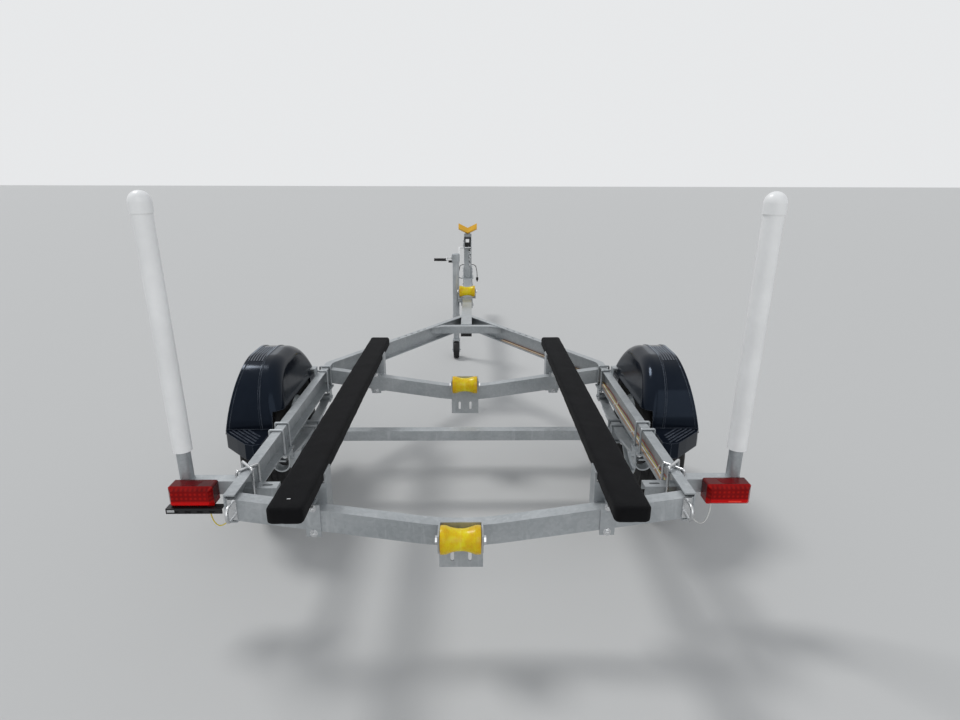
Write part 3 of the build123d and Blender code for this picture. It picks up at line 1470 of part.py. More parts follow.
with BuildPart() as fork:
    with Locations((jack_x, y_jack - caster_trail / 2, fork_crown - fork_gap - fork_crown_thickness / 2)):
        Box(2 * (fork_half + fork_wall), caster_trail + fork_width, fork_crown_thickness)
    fork_top = fork_crown - fork_gap - fork_crown_thickness
    for side in (-1, 1):
        with BuildSketch(Plane.YZ.offset(jack_x + side * (fork_half + fork_wall / 2) - fork_wall / 2)):
            with BuildLine():
                Polyline(
                    (y_jack + fork_width / 2, fork_top),
                    (y_jack - caster_trail - fork_width / 2, fork_top),
                    (y_jack - caster_trail - fork_width / 2, caster_radius - fork_width / 2),
                    (y_jack - caster_trail + fork_width / 2, caster_radius - fork_width / 2),
                    close=True,
                )
            make_face()
        extrude(amount=fork_wall)
    with Locations(Location((jack_x, y_jack - caster_trail, caster_radius), (0, 90, 0))):
        Cylinder(caster_pin_radius, 2 * (fork_half + fork_wall + caster_pin_radius))
save(fork.part, "caster_fork")
with BuildPart() as caster:
    with Locations(Location((jack_x, y_jack - caster_trail, caster_radius), (0, 90, 0))):
        Cylinder(caster_radius, caster_width)
        fillet(caster.edges(), caster_groove)
        for face_z in (-caster_width / 2, caster_width / 2):
            with Locations((0, 0, face_z)):
                Cylinder(caster_radius - caster_tread_depth, 2 * caster_dish, mode=Mode.SUBTRACT)
        Cylinder(caster_hub_radius, caster_width)
        Cylinder(caster_pin_radius + roller_pin_clearance, caster_width, mode=Mode.SUBTRACT)
save(caster.part, "caster_wheel")

# Tie-down eyes at the rear corners: upright loops that stand out to the rear
with BuildPart() as eye:
    with Locations((eye_x, y_rear_face - eye_plate / 2, eye_height)):
        Box(eye_plate_width, eye_plate, eye_plate_height)
    with BuildLine() as loop:
        FilletPolyline(
            (eye_x, y_rear_face - eye_plate, eye_height + eye_half),
            (eye_x, y_rear_face - eye_reach, eye_height + eye_half),
            (eye_x, y_rear_face - eye_reach, eye_height - eye_half),
            (eye_x, y_rear_face - eye_plate, eye_height - eye_half),
            radius=eye_half - 1,
        )
    with BuildSketch(Plane(origin=loop.line @ 0, z_dir=(0, -1, 0))):
        Circle(eye_rod_radius)
    sweep(path=loop.line)
save(eye.part + mirrored(eye.part), "tie_down_eyes")


# Free cords: straight runs joined by arcs, as large as each corner leaves room for
def cord(points, diameter, label):
    """A round cord through a list of points; prints each corner's radius and the length."""
    corners = [Vector(*point) for point in points]
    radii = []
    for before, corner, after in zip(corners, corners[1:], corners[2:]):
        turn_angle = radians((corner - before).get_angle(after - corner))
        shorter = min((corner - before).length, (after - corner).length)
        radii.append(cord_fill * shorter / tan(turn_angle / 2))
    with BuildPart() as tube:
        with BuildLine() as route:
            FilletPolyline(*corners, radius=radii)
        middle_line = route.wires()[0]
        with BuildSketch(Plane(origin=middle_line @ 0, z_dir=middle_line % 0)):
            Circle(diameter / 2)
        sweep(path=middle_line)
    section = pi * diameter**2 / 4
    print(label, [round(radius, 1) for radius in radii], "length", round(middle_line.length, 1))
    print(label, "volume ratio", round(tube.part.volume / (section * middle_line.length), 3))
    save(tube.part, label)


# Harness cables beside the winch stand, one tucked in at both ends, one ending in its plug
cord(harness_left, harness_diameter, "harness_left")
cord(harness_right, harness_diameter, "harness_right")
plug_end = harness_right[-1]
with BuildPart() as plug:
    with Locations((plug_end[0], plug_end[1], plug_end[2] - plug_length / 2)):
        Box(plug_width, plug_thickness, plug_length)
        fillet(plug.edges().filter_by(Axis.Z), plug_corner)
    with Locations((plug_end[0], plug_end[1], plug_end[2] - plug_length - plug_tongue / 2)):
        Box(plug_width / 2, plug_thickness / 2, plug_tongue)
save(plug.part, "harness_plug")

# Lamp wires that hang from the lamps and tuck into the guide bars
cord(lamp_wire_right, wire_diameter, "lamp_wire_right")
cord(lamp_wire_left, wire_diameter, "lamp_wire_left")
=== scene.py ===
import json
import math

import bmesh
import bpy
from mathutils import Matrix, Vector


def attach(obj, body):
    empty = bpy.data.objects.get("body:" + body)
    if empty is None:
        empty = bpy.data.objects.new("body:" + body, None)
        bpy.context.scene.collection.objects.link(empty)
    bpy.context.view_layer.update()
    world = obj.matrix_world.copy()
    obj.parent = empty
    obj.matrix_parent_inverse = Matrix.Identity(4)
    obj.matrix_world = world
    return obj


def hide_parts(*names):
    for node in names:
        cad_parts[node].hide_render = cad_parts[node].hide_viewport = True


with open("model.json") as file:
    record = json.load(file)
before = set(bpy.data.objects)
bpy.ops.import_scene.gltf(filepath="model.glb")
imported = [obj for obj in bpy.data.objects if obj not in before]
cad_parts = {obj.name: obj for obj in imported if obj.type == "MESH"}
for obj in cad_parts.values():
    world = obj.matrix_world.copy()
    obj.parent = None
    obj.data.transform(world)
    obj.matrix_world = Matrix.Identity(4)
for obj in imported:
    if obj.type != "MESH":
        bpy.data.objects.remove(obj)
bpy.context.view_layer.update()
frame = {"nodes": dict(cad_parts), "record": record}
nodes = frame["nodes"]
scene = bpy.context.scene
print("trailer loaded:", len(nodes), "nodes")

# camera behind the trailer, standing height, a little downwards
camera = {
    "place": (0.0363, -4.5202, 1.5731),
    "pitch": 16.468,
    "yaw": -0.817,
    "roll": 0.144,
    "lens": 23.32,
    "sensor": 36.0,
    "reach": 100.0,
}
cameraData = bpy.data.cameras.new("camera")
cameraData.lens = camera["lens"]
cameraData.sensor_width = camera["sensor"]
cameraData.clip_end = camera["reach"]
cameraObject = bpy.data.objects.new("camera", cameraData)
scene.collection.objects.link(cameraObject)
cameraObject.matrix_world = (
    Matrix.Translation(camera["place"])
    @ Matrix.Rotation(math.radians(camera["yaw"]), 4, "Z")
    @ Matrix.Rotation(math.radians(90.0 - camera["pitch"]), 4, "X")
    @ Matrix.Rotation(math.radians(camera["roll"]), 4, "Z")
)
scene.camera = cameraObject


# node helpers for the materials
def newMaterial(name, rough, metal=0.0):
    material = bpy.data.materials.new(name)
    material.use_nodes = True
    tree = material.node_tree
    shader = tree.nodes["Principled BSDF"]
    shader.inputs["Roughness"].default_value = rough
    shader.inputs["Metallic"].default_value = metal
    return material, tree, shader


def fed(tree, shader, socket, value):
    tree.links.new(value, shader.inputs[socket])


def coords(tree, scale=(1, 1, 1), turn=(0, 0, 0)):
    source = tree.nodes.new("ShaderNodeTexCoord")
    mapping = tree.nodes.new("ShaderNodeMapping")
    mapping.inputs["Scale"].default_value = scale
    mapping.inputs["Rotation"].default_value = turn
    tree.links.new(source.outputs["Object"], mapping.inputs["Vector"])
    return mapping.outputs["Vector"]


def noise(tree, vector, scale, detail=4.0, rough=0.55):
    node = tree.nodes.new("ShaderNodeTexNoise")
    node.inputs["Scale"].default_value = scale
    node.inputs["Detail"].default_value = detail
    node.inputs["Roughness"].default_value = rough
    tree.links.new(vector, node.inputs["Vector"])
    return node.outputs["Fac"]


def cells(tree, vector, scale, output="Distance", spread=1.0, dimensions="3D"):
    node = tree.nodes.new("ShaderNodeTexVoronoi")
    node.voronoi_dimensions = dimensions
    node.inputs["Scale"].default_value = scale
    node.inputs["Randomness"].default_value = spread
    tree.links.new(vector, node.inputs["Vector"])
    return node.outputs[output]


def waves(tree, scale, distortion=0.0):
    node = tree.nodes.new("ShaderNodeTexWave")
    node.bands_direction = "X"
    node.inputs["Scale"].default_value = scale
    node.inputs["Distortion"].default_value = distortion
    tree.links.new(coords(tree), node.inputs["Vector"])
    return node.outputs["Fac"]


def ramp(tree, value, *stops):
    node = tree.nodes.new("ShaderNodeValToRGB")
    marks = node.color_ramp.elements
    while len(marks) < len(stops):
        marks.new(0.5)
    for mark, (place, level) in zip(marks, stops):
        mark.position = place
        mark.color = (level, level, level, 1) if isinstance(level, float) else (*level, 1)
    tree.links.new(value, node.inputs["Fac"])
    return node.outputs["Color"]


def mixed(tree, share, first, second, blend="MIX"):
    node = tree.nodes.new("ShaderNodeMix")
    node.data_type = "RGBA"
    node.blend_type = blend
    if isinstance(share, float):
        node.inputs["Factor"].default_value = share
    else:
        tree.links.new(share, node.inputs["Factor"])
    tree.links.new(first, node.inputs["A"])
    tree.links.new(second, node.inputs["B"])
    return node.outputs["Result"]


def multiplied(tree, first, second):
    return mixed(tree, 1.0, first, second, "MULTIPLY")


def plain(tree, colour):
    node = tree.nodes.new("ShaderNodeRGB")
    node.outputs[0].default_value = (*colour, 1)
    return node.outputs[0]


def axesOf(tree, vector):
    node = tree.nodes.new("ShaderNodeSeparateXYZ")
    tree.links.new(vector, node.inputs[0])
    return node.outputs


def normalOf(tree):
    return tree.nodes.new("ShaderNodeNewGeometry").outputs["Normal"]


def worked(tree, operation, first, second=None):
    node = tree.nodes.new("ShaderNodeMath")
    node.operation = operation
    tree.links.new(first, node.inputs[0])
    if isinstance(second, float):
        node.inputs[1].default_value = second
    elif second is not None:
        tree.links.new(second, node.inputs[1])
    return node.outputs[0]


def bumped(tree, shader, height, strength, distance):
    node = tree.nodes.new("ShaderNodeBump")
    node.inputs["Strength"].default_value = strength
    node.inputs["Distance"].default_value = distance
    tree.links.new(height, node.inputs["Height"])
    tree.links.new(node.outputs["Normal"], shader.inputs["Normal"])
    return node


zinc = {
    "flakes": ((0.40, 0.43, 0.45), (0.58, 0.61, 0.63)),
    "clouds": ((0.42, 0.45, 0.465), (0.60, 0.625, 0.64)),
    "chalk": (0.66, 0.68, 0.69),
}


def galvanised(name, light=1.0):
    # flakes and slow clouds of grey, with chalky runs down its height
    material, tree, shader = newMaterial(name, 0.42, 0.55)
    place = coords(tree)
    darkFlake, paleFlake, darkCloud, paleCloud = [
        tuple(c * light for c in colour) for colour in (*zinc["flakes"], *zinc["clouds"])]
    grains = tree.nodes.new("ShaderNodeSeparateColor")
    tree.links.new(cells(tree, place, 95.0, "Color"), grains.inputs["Color"])
    flakes = ramp(tree, grains.outputs["Red"], (0.0, darkFlake), (1.0, paleFlake))
    cloud = noise(tree, place, 6.0, 7.0, 0.6)
    dull = ramp(tree, cloud, (0.35, darkCloud), (0.65, paleCloud))
    runs = noise(tree, coords(tree, (14.0, 14.0, 1.6)), 2.2, 5.0, 0.6)
    chalk = ramp(tree, runs, (0.58, 0.0), (0.72, 0.35))
    base = mixed(tree, 0.35, dull, flakes)
    fed(tree, shader, "Base Color", mixed(tree, chalk, base, plain(tree, zinc["chalk"])))
    fed(tree, shader, "Roughness", ramp(tree, cloud, (0.3, 0.34), (0.7, 0.54)))
    bumped(tree, shader, noise(tree, place, 26.0, 6.0, 0.6), 0.22, 0.0012)
    return material


def plated(name, colour, rough):
    material, tree, shader = newMaterial(name, rough, 0.95)
    place = coords(tree)
    darker = tuple(0.78 * c for c in colour)
    cloud = noise(tree, place, 18.0, 6.0)
    drift = noise(tree, place, 60.0)
    fed(tree, shader, "Base Color", ramp(tree, cloud, (0.32, darker), (0.68, colour)))
    fed(tree, shader, "Roughness", ramp(tree, drift, (0.3, rough * 0.8), (0.7, rough * 1.35)))
    bumped(tree, shader, noise(tree, place, 240.0, 3.0), 0.08, 0.0004)
    return material


def moulded(name, colour, rough, grain, strength=0.08, coat=0.0, paleShift=0.0, gloss=0.5):
    material, tree, shader = newMaterial(name, rough)
    place = coords(tree)
    shader.inputs["Specular IOR Level"].default_value = gloss
    shader.inputs["Coat Weight"].default_value = coat
    shader.inputs["Coat Roughness"].default_value = 0.06
    paler = tuple(min(1.0, c * 1.12 + paleShift) for c in colour)
    cloud = noise(tree, place, 7.0, 6.0, 0.6)
    drift = noise(tree, place, 30.0, 5.0)
    fed(tree, shader, "Base Color", ramp(tree, cloud, (0.35, colour), (0.75, paler)))
    fed(tree, shader, "Roughness", ramp(tree, drift, (0.3, rough * 0.85), (0.75, rough * 1.3)))
    bumped(tree, shader, noise(tree, place, grain, 3.0), strength, 0.0004)
    return material


def rubber(name):
    material, tree, shader = newMaterial(name, 0.78)
    place = coords(tree)
    shader.inputs["Specular IOR Level"].default_value = 0.25
    paleShift = noise(tree, place, 14.0, 8.0, 0.65)
    dusty = ramp(tree, paleShift, (0.4, (0.011, 0.011, 0.012)), (0.8, (0.032, 0.031, 0.029)))
    fed(tree, shader, "Base Color", dusty)
    fed(tree, shader, "Roughness", ramp(tree, noise(tree, place, 40.0), (0.3, 0.66), (0.7, 0.86)))
    bumped(tree, shader, noise(tree, place, 420.0, 4.0), 0.25, 0.0005)
    return material


def carpeted(name):
    material, tree, shader = newMaterial(name, 0.97)
    shader.inputs["Specular IOR Level"].default_value = 0.08
    shader.inputs["Sheen Weight"].default_value = 0.03
    shader.inputs["Sheen Roughness"].default_value = 0.5
    fibres = coords(tree, (1.0, 0.55, 1.0))
    loops = cells(tree, fibres, 620.0)
    fuzz = noise(tree, fibres, 900.0, 4.0, 0.7)
    wear = noise(tree, coords(tree), 11.0, 6.0)
    shade = ramp(tree, wear, (0.35, (0.005, 0.005, 0.0055)), (0.7, (0.010, 0.010, 0.011)))
    pile = ramp(tree, fuzz, (0.40, (0.003, 0.003, 0.0035)), (0.75, (0.024, 0.024, 0.026)))
    fed(tree, shader, "Base Color", mixed(tree, 0.5, shade, pile))
    loopTops = ramp(tree, loops, (0.0, 1.0), (0.8, 0.0))
    fuzzTops = ramp(tree, fuzz, (0.2, 0.0), (0.8, 1.0))
    bumped(tree, shader, mixed(tree, 0.5, loopTops, fuzzTops), 0.9, 0.0012)
    return material


# heights over which the step's and the pad's matt ground and their ribs' tops begin and end
fenderMarks = {
    "stepGround": (0.4985, 0.4990),
    "stepRibs": (0.5012, 0.5018),
    "stepEnd": (0.5040, 0.5046),
    "between": (0.60, 0.61),
    "padGround": (0.7660, 0.7666),
    "padRibs": (0.7685, 0.7692),
    # radius of the rounded edges, which also sets how wide the painted edge highlight is
    "roundedHighlightEdge": 0.0035,
}


def fenderBand(tree, height, onStep, onPad):
    step, end, pad = fenderMarks[onStep], fenderMarks["stepEnd"], fenderMarks[onPad]
    return ramp(tree, height, (step[0], 0.0), (step[1], 1.0), (end[0], 1.0), (end[1], 0.0),
                (pad[0], 0.0), (pad[1], 1.0))


def fenderPlastic(name):
    # glossy navy black, matt between the ribs of the pad and the step, with painted highlights on the ribs'
    # tops and on the sharp edges
    material, tree, shader = newMaterial(name, 0.10)
    shader.inputs["IOR"].default_value = 1.24
    shader.inputs["Specular Tint"].default_value = (0.55, 0.72, 1.0, 1)
    place = coords(tree)
    height = axesOf(tree, place)["Z"]
    normal = normalOf(tree)
    level = ramp(tree, axesOf(tree, normal)["Z"], (0.95, 0.0), (0.985, 1.0))
    ribTops = multiplied(tree, fenderBand(tree, height, "stepRibs", "padRibs"), level)
    matt = multiplied(tree, fenderBand(tree, height, "stepGround", "padGround"), level)
    rounded = tree.nodes.new("ShaderNodeBevel")
    rounded.samples = 4
    rounded.inputs["Radius"].default_value = fenderMarks["roundedHighlightEdge"]
    turned = tree.nodes.new("ShaderNodeVectorMath")
    turned.operation = "DOT_PRODUCT"
    tree.links.new(rounded.outputs["Normal"], turned.inputs[0])
    tree.links.new(normal, turned.inputs[1])
    edges = ramp(tree, turned.outputs["Value"], (0.90, 1.0), (0.985, 0.0))
    cloud = noise(tree, place, 7.0, 6.0, 0.6)
    black = ramp(tree, cloud, (0.35, (0.0050, 0.0072, 0.0120)), (0.75, (0.0095, 0.0125, 0.0190)))
    # painted highlight: the ribs' tops are paler, dark grey on the step and pale grey on the pad
    ribHighlightSpread = noise(tree, place, 90.0, 5.0, 0.65)
    stepRibHighlight = ramp(tree, ribHighlightSpread, (0.30, (0.018, 0.022, 0.032)), (0.70, (0.070, 0.082, 0.110)))
    padRibHighlight = ramp(tree, ribHighlightSpread, (0.30, (0.16, 0.18, 0.21)), (0.70, (0.30, 0.33, 0.37)))
    low, high = fenderMarks["between"]
    paintedRibHighlight = mixed(tree, ramp(tree, height, (low, 0.0), (high, 1.0)), stepRibHighlight, padRibHighlight)
    # painted highlight: sharp edges, found from the bevel's rounded normal, get a paler colour
    edgeHighlightSpread = noise(tree, place, 24.0, 4.0, 0.6)
    paintedEdgeHighlight = ramp(tree, edgeHighlightSpread, (0.30, (0.045, 0.052, 0.068)), (0.62, (0.15, 0.17, 0.20)))
    fed(tree, shader, "Base Color", mixed(tree, edges, mixed(tree, ribTops, black, paintedRibHighlight), paintedEdgeHighlight))
    fed(tree, shader, "Specular IOR Level", ramp(tree, matt, (0.0, 0.5), (1.0, 0.04)))
    fed(tree, shader, "Roughness", ramp(tree, noise(tree, place, 30.0, 5.0), (0.3, 0.08), (0.75, 0.16)))
    bump = bumped(tree, shader, noise(tree, place, 160.0, 3.0), 0.03, 0.0004)
    tree.links.new(rounded.outputs["Normal"], bump.inputs["Normal"])
    return material


# heights over which the rims below and above the lamp's boards fade, and how bright the rims are
lensMarks = {"low": (0.4860, 0.4900), "high": (0.5330, 0.5370), "lowRim": 1.0, "highRim": 0.45}


def lensPlastic(name):
    # rows of cells on the face, a bright rim below and above them, and the top and the sides darkened by
    # painted shade
    material, tree, shader = newMaterial(name, 0.16)
    shader.inputs["Specular IOR Level"].default_value = 0.12
    place = coords(tree)
    upright = coords(tree, turn=(math.radians(90), 0, 0))
    grid = cells(tree, upright, 62.0, spread=0.0, dimensions="2D")
    dots = ramp(tree, grid, (0.16, (0.52, 0.012, 0.006)), (0.38, (0.20, 0.001, 0.002)))
    murk = noise(tree, place, 16.0, 4.0)
    deep = ramp(tree, murk, (0.3, (0.20, 0.0012, 0.002)), (0.7, (0.34, 0.003, 0.003)))
    low, high = lensMarks["low"], lensMarks["high"]
    rim = ramp(tree, axesOf(tree, place)["Z"], (low[0], lensMarks["lowRim"]), (low[1], 0.0),
               (high[0], 0.0), (high[1], lensMarks["highRim"]))
    lit = mixed(tree, rim, mixed(tree, 0.5, dots, deep), plain(tree, (0.62, 0.004, 0.004)))
    # painted shade: faces that do not face rearwards are darkened
    rearward = worked(tree, "MULTIPLY", axesOf(tree, normalOf(tree))["Y"], -1.0)
    shade = ramp(tree, rearward, (0.30, (0.26, 0.36, 0.60)), (0.80, (1.0, 1.0, 1.0)))
    fed(tree, shader, "Base Color", multiplied(tree, lit, shade))
    bumped(tree, shader, waves(tree, 70.0), 0.12, 0.0006)
    return material


# the roller's colour at distances from its middle, the darker amber towards the ends being painted shade
rollerMarks = (
    (0.0, (0.88, 0.78, 0.06)),
    (0.0016, (0.82, 0.71, 0.009)),
    (0.026, (0.79, 0.64, 0.005)),
    (0.064, (0.72, 0.51, 0.002)),
)


def rollerPlastic(name):
    # lemon at the waist, darker amber towards the ends as painted shade, with a pale mould line at the middle
    material, tree, shader = newMaterial(name, 0.26)
    shader.inputs["Specular IOR Level"].default_value = 0.30
    place = coords(tree)
    across = ramp(tree, worked(tree, "ABSOLUTE", axesOf(tree, place)["X"]), *rollerMarks)
    streaks = noise(tree, place, 38.0, 5.0, 0.6)
    cloud = ramp(tree, streaks, (0.38, (0.93, 0.72, 0.50)), (0.60, (1.0, 0.98, 1.0)))
    fed(tree, shader, "Base Color", multiplied(tree, across, cloud))
    fed(tree, shader, "Roughness", ramp(tree, noise(tree, place, 55.0, 4.0), (0.3, 0.20), (0.75, 0.36)))
    bumped(tree, shader, noise(tree, place, 260.0, 3.0), 0.06, 0.0004)
    return material


def webbing(name):
    material, tree, shader = newMaterial(name, 0.85)
    weave = waves(tree, 260.0, 1.5)
    threads = ramp(tree, weave, (0.2, (0.010, 0.010, 0.011)), (0.8, (0.035, 0.035, 0.037)))
    fed(tree, shader, "Base Color", threads)
    bumped(tree, shader, weave, 0.5, 0.0006)
    return material


def chainSteel(name):
    # bright and dark patches on the links, painted glints and painted shade
    material, tree, shader = newMaterial(name, 0.22, 0.9)
    place = coords(tree)
    glints = noise(tree, place, 70.0, 2.0)
    glintsAndShade = ramp(tree, glints, (0.40, (0.10, 0.105, 0.11)), (0.52, (0.86, 0.87, 0.88)))
    fed(tree, shader, "Base Color", glintsAndShade)
    bumped(tree, shader, noise(tree, place, 300.0, 3.0), 0.10, 0.0004)
    return material


wireGrain = 900.0
finishes = {
    "galvanised": galvanised("galvanised", 0.80),
    "bright_steel": plated("brightSteel", (0.70, 0.71, 0.72), 0.26),
    "wheel_steel": galvanised("wheelSteel", 1.1),
    "tyre": rubber("tyreRubber"),
    "black_plastic": moulded("blackPlastic", (0.011, 0.011, 0.012), 0.42, 600.0, 0.2, gloss=0.35),
    "gloss_black": fenderPlastic("glossBlack"),
    "white_pvc": moulded("whitePlastic", (0.86, 0.86, 0.85), 0.34, 300.0, 0.04, coat=0.1),
    "red_lens": lensPlastic("redLens"),
    "carpet": carpeted("carpet"),
    "yellow_roller": rollerPlastic("yellowRoller"),
    "amber_rubber": moulded("amberRubber", (0.76, 0.42, 0.035), 0.34, 260.0, gloss=0.3),
    "black_strap": webbing("blackStrap"),
    "black_wire": moulded("blackWire", (0.016, 0.016, 0.017), 0.5, wireGrain, 0.1),
    "white_wire": moulded("whiteWire", (0.74, 0.74, 0.71), 0.42, wireGrain, 0.06),
    "yellow_wire": moulded("yellowWire", (0.72, 0.56, 0.03), 0.42, wireGrain, 0.06),
}
ownFinishes = {"safety_chain": chainSteel("chainSteel")}
slotOf = {row["node"]: row["material_slot"] for row in frame["record"]["subparts"]}
for name, node in nodes.items():
    material = ownFinishes.get(name, finishes[slotOf[name]])
    if not node.material_slots:
        node.data.materials.append(material)
    for holder in node.material_slots:
        holder.material = material
print("finishes set on the nodes")


def ridden(piece, body, slotName, replaced=()):
    scene.collection.objects.link(piece)
    piece.data.materials.append(finishes[slotName])
    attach(piece, body)
    if replaced:
        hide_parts(*replaced)
    return piece


def wireCurve(name, route, thick, ringSteps, pathSteps):
    # one smooth line, round in section, that starts and ends where its route does
    curve = bpy.data.curves.new(name, "CURVE")
    curve.dimensions = "3D"
    curve.bevel_depth = thick / 2
    curve.bevel_resolution = ringSteps
    curve.resolution_u = pathSteps
    curve.use_fill_caps = True
    spline = curve.splines.new("NURBS")
    spline.points.add(len(route) - 1)
    for point, place in zip(spline.points, route):
        point.co = (*place, 1.0)
    spline.order_u = 3
    spline.use_endpoint_u = True
    return curve


# lamp wires and harness cables; the left lamp's route is the right one's, mirrored
lampRoute = (
    (0.894, -2.5394, 0.463), (0.894, -2.5394, 0.427), (0.886, -2.5394, 0.387), (0.872, -2.5274, 0.359),
    (0.850, -2.5094, 0.365), (0.830, -2.4954, 0.393), (0.820, -2.4894, 0.441), (0.820, -2.4894, 0.4822),
)
leftRoute = tuple((-x, y, z) for x, y, z in lampRoute)
# (piece, node, colour slot, thickness, length, what its far end is, route)
cordTable = (
    ("harnessLeft", "harness_left", "black_wire", 0.007, 0.2154, "object", (
        (-0.0381, 1.9, 0.7), (-0.0781, 1.9, 0.7), (-0.0881, 1.888, 0.652),
        (-0.0941, 1.878, 0.61), (-0.0941, 1.866, 0.563), (-0.0461, 1.866, 0.563))),
    ("harnessRight", "harness_right", "black_wire", 0.007, 0.1664, "plug", (
        (0.0381, 1.9, 0.7), (0.0781, 1.9, 0.7), (0.0901, 1.886, 0.65),
        (0.0961, 1.88, 0.608), (0.0961, 1.88, 0.572))),
    ("lampWireRight", "lamp_wire_right", "white_wire", 0.004, 0.2616, "object", lampRoute),
    ("lampWireLeft", "lamp_wire_left", "yellow_wire", 0.004, 0.2616, "object", leftRoute),
)
for name, node, slotName, thick, long, farEnd, route in cordTable:
    curve = wireCurve(name, route, thick, 4, 12)
    cable = ridden(bpy.data.objects.new(name, curve), "frame", slotName, (node,))
print("cords laid")

# mesh helpers
mergeGap = 0.00002
bothSides = (-1, 1)
wheels = ((1, "right"), (-1, "left"))
bead = {"radius": 0.0032, "pitch": 0.0045, "swell": 0.12, "rhythm": 2.3, "flatness": 0.7}


def sharpEdges(build, degrees):
    limit = math.radians(degrees)
    return [edge for edge in build.edges if len(edge.link_faces) == 2 and edge.calc_face_angle(0.0) > limit]


def edgesAlong(build, axis, least):
    # the edges that run further than this along an axis
    return [edge for edge in build.edges if abs(edge.verts[0].co[axis] - edge.verts[1].co[axis]) > least]


def bevelled(build, edges, offset, segments, clamped=False):
    bmesh.ops.bevel(build, geom=edges, offset=offset, affect="EDGES", segments=segments, profile=0.5,
                    material=-1, clamp_overlap=clamped)


def shaped(name, build, body, slotName, replaced, sharp):
    for face in build.faces:
        face.smooth = True
    for edge in sharpEdges(build, sharp):
        edge.smooth = False
    mesh = bpy.data.meshes.new(name)
    build.to_mesh(mesh)
    build.free()
    return ridden(bpy.data.objects.new(name, mesh), body, slotName, replaced)


def finished(name, build, body, slotName, replaced=(), sharp=32.0, merge=mergeGap, others=()):
    bmesh.ops.remove_doubles(build, verts=build.verts, dist=merge)
    bmesh.ops.recalc_face_normals(build, faces=build.faces)
    piece = shaped(name, build, body, slotName, replaced, sharp)
    for other in others:
        piece.data.materials.append(finishes[other])
    return piece


def moved(build, oldVerts, matrix):
    # everything but the old vertices goes to its place
    bmesh.ops.transform(build, matrix=matrix, verts=[vert for vert in build.verts if vert not in oldVerts])


def spun(build, profile, steps, matrix=Matrix(), shade=0):
    # a line of (along, radius) places turned about the X axis, then put in its place
    oldVerts = set(build.verts)
    oldFaces = set(build.faces)
    points = [build.verts.new((along, 0.0, radius)) for along, radius in profile]
    lines = [build.edges.new(pair) for pair in zip(points, points[1:])]
    bmesh.ops.spin(build, geom=points + lines, cent=(0, 0, 0), axis=(1, 0, 0), dvec=(0, 0, 0),
                   angle=2 * math.pi, steps=steps, use_merge=True)
    moved(build, oldVerts, matrix)
    for face in build.faces:
        if face not in oldFaces:
            face.material_index = shade


def mirrored(half):
    # a profile given from its middle outwards, made whole
    return [(-along, radius) for along, radius in reversed(half)] + list(half)


def block(build, size, place, bevel=0.0, segments=2, turn=Matrix()):
    matrix = Matrix.Translation(place) @ turn @ Matrix.Diagonal((*size, 1.0))
    made = bmesh.ops.create_cube(build, size=1.0, matrix=matrix)
    if bevel:
        edges = {edge for vert in made["verts"] for edge in vert.link_edges}
        bevelled(build, list(edges), bevel, segments)


def disc(build, radius, depth, corners, along):
    # a closed prism about the X axis
    matrix = Matrix.Translation((along, 0, 0)) @ Matrix.Rotation(math.radians(90), 4, "Y")
    return bmesh.ops.create_cone(build, cap_ends=True, segments=corners, radius1=radius, radius2=radius,
                                 depth=depth, matrix=matrix)


def facing(place, towards):
    # a matrix that turns +X to look along a direction
    return Matrix.Translation(place) @ Vector(towards).to_track_quat("X", "Z").to_matrix().to_4x4()


def weld(build, start, end, radius=bead["radius"]):
    # a row of flattened beads that swell and shrink a little
    start, end = Vector(start), Vector(end)
    run = end - start
    count = max(2, int(run.length / bead["pitch"]))
    turn = run.to_track_quat("X", "Z").to_matrix().to_4x4()
    flat = Matrix.Diagonal((bead["flatness"], 1.0, 1.0, 1.0))
    for step in range(count + 1):
        size = radius * (1.0 + bead["swell"] * math.sin(bead["rhythm"] * step))
        shape = Matrix.Translation(start.lerp(end, step / count)) @ turn @ flat
        bmesh.ops.create_icosphere(build, subdivisions=1, radius=size, matrix=shape)


# a nut with its washer and the bolt's end, looking along +X
nutForm = {
    "seat": 0.0014,
    "washer": 0.0016,
    "washerEdge": 0.0012,
    "tip": 0.001,
    # shares of the width over flats
    "bore": 0.28,
    "washerFlat": 0.82,
    "washerRim": 0.85,
    "thread": 0.30,
    # shares of the height
    "chamfer": 0.12,
    "top": 0.9,
}


def nutMesh(flats, height, tail):
    build = bmesh.new()
    made = disc(build, flats / math.sqrt(3), height, 6, nutForm["seat"] + height / 2)
    top = height * nutForm["top"]
    edges = {edge for vert in made["verts"] for edge in vert.link_edges}
    rims = [edge for edge in edges if all(vert.co.x > top for vert in edge.verts)]
    bevelled(build, rims, height * nutForm["chamfer"], 1)
    bore, flat, rim, thread = (flats * nutForm[key] for key in ("bore", "washerFlat", "washerRim", "thread"))
    low, high = nutForm["washerEdge"], nutForm["washer"]
    spun(build, ((0.0, bore), (0.0, flat), (low, rim), (high, flat), (high, bore)), 20)
    if tail:
        end, tip = height + tail, nutForm["tip"]
        spun(build, ((top, thread), (end - tip, thread), (end, thread - tip), (end, 0.0)), 14)
    mesh = bpy.data.meshes.new("nut")
    build.to_mesh(mesh)
    build.free()
    return mesh


def placed(build, shape, matrix):
    oldVerts = set(build.verts)
    build.from_mesh(shape)
    moved(build, oldVerts, matrix)


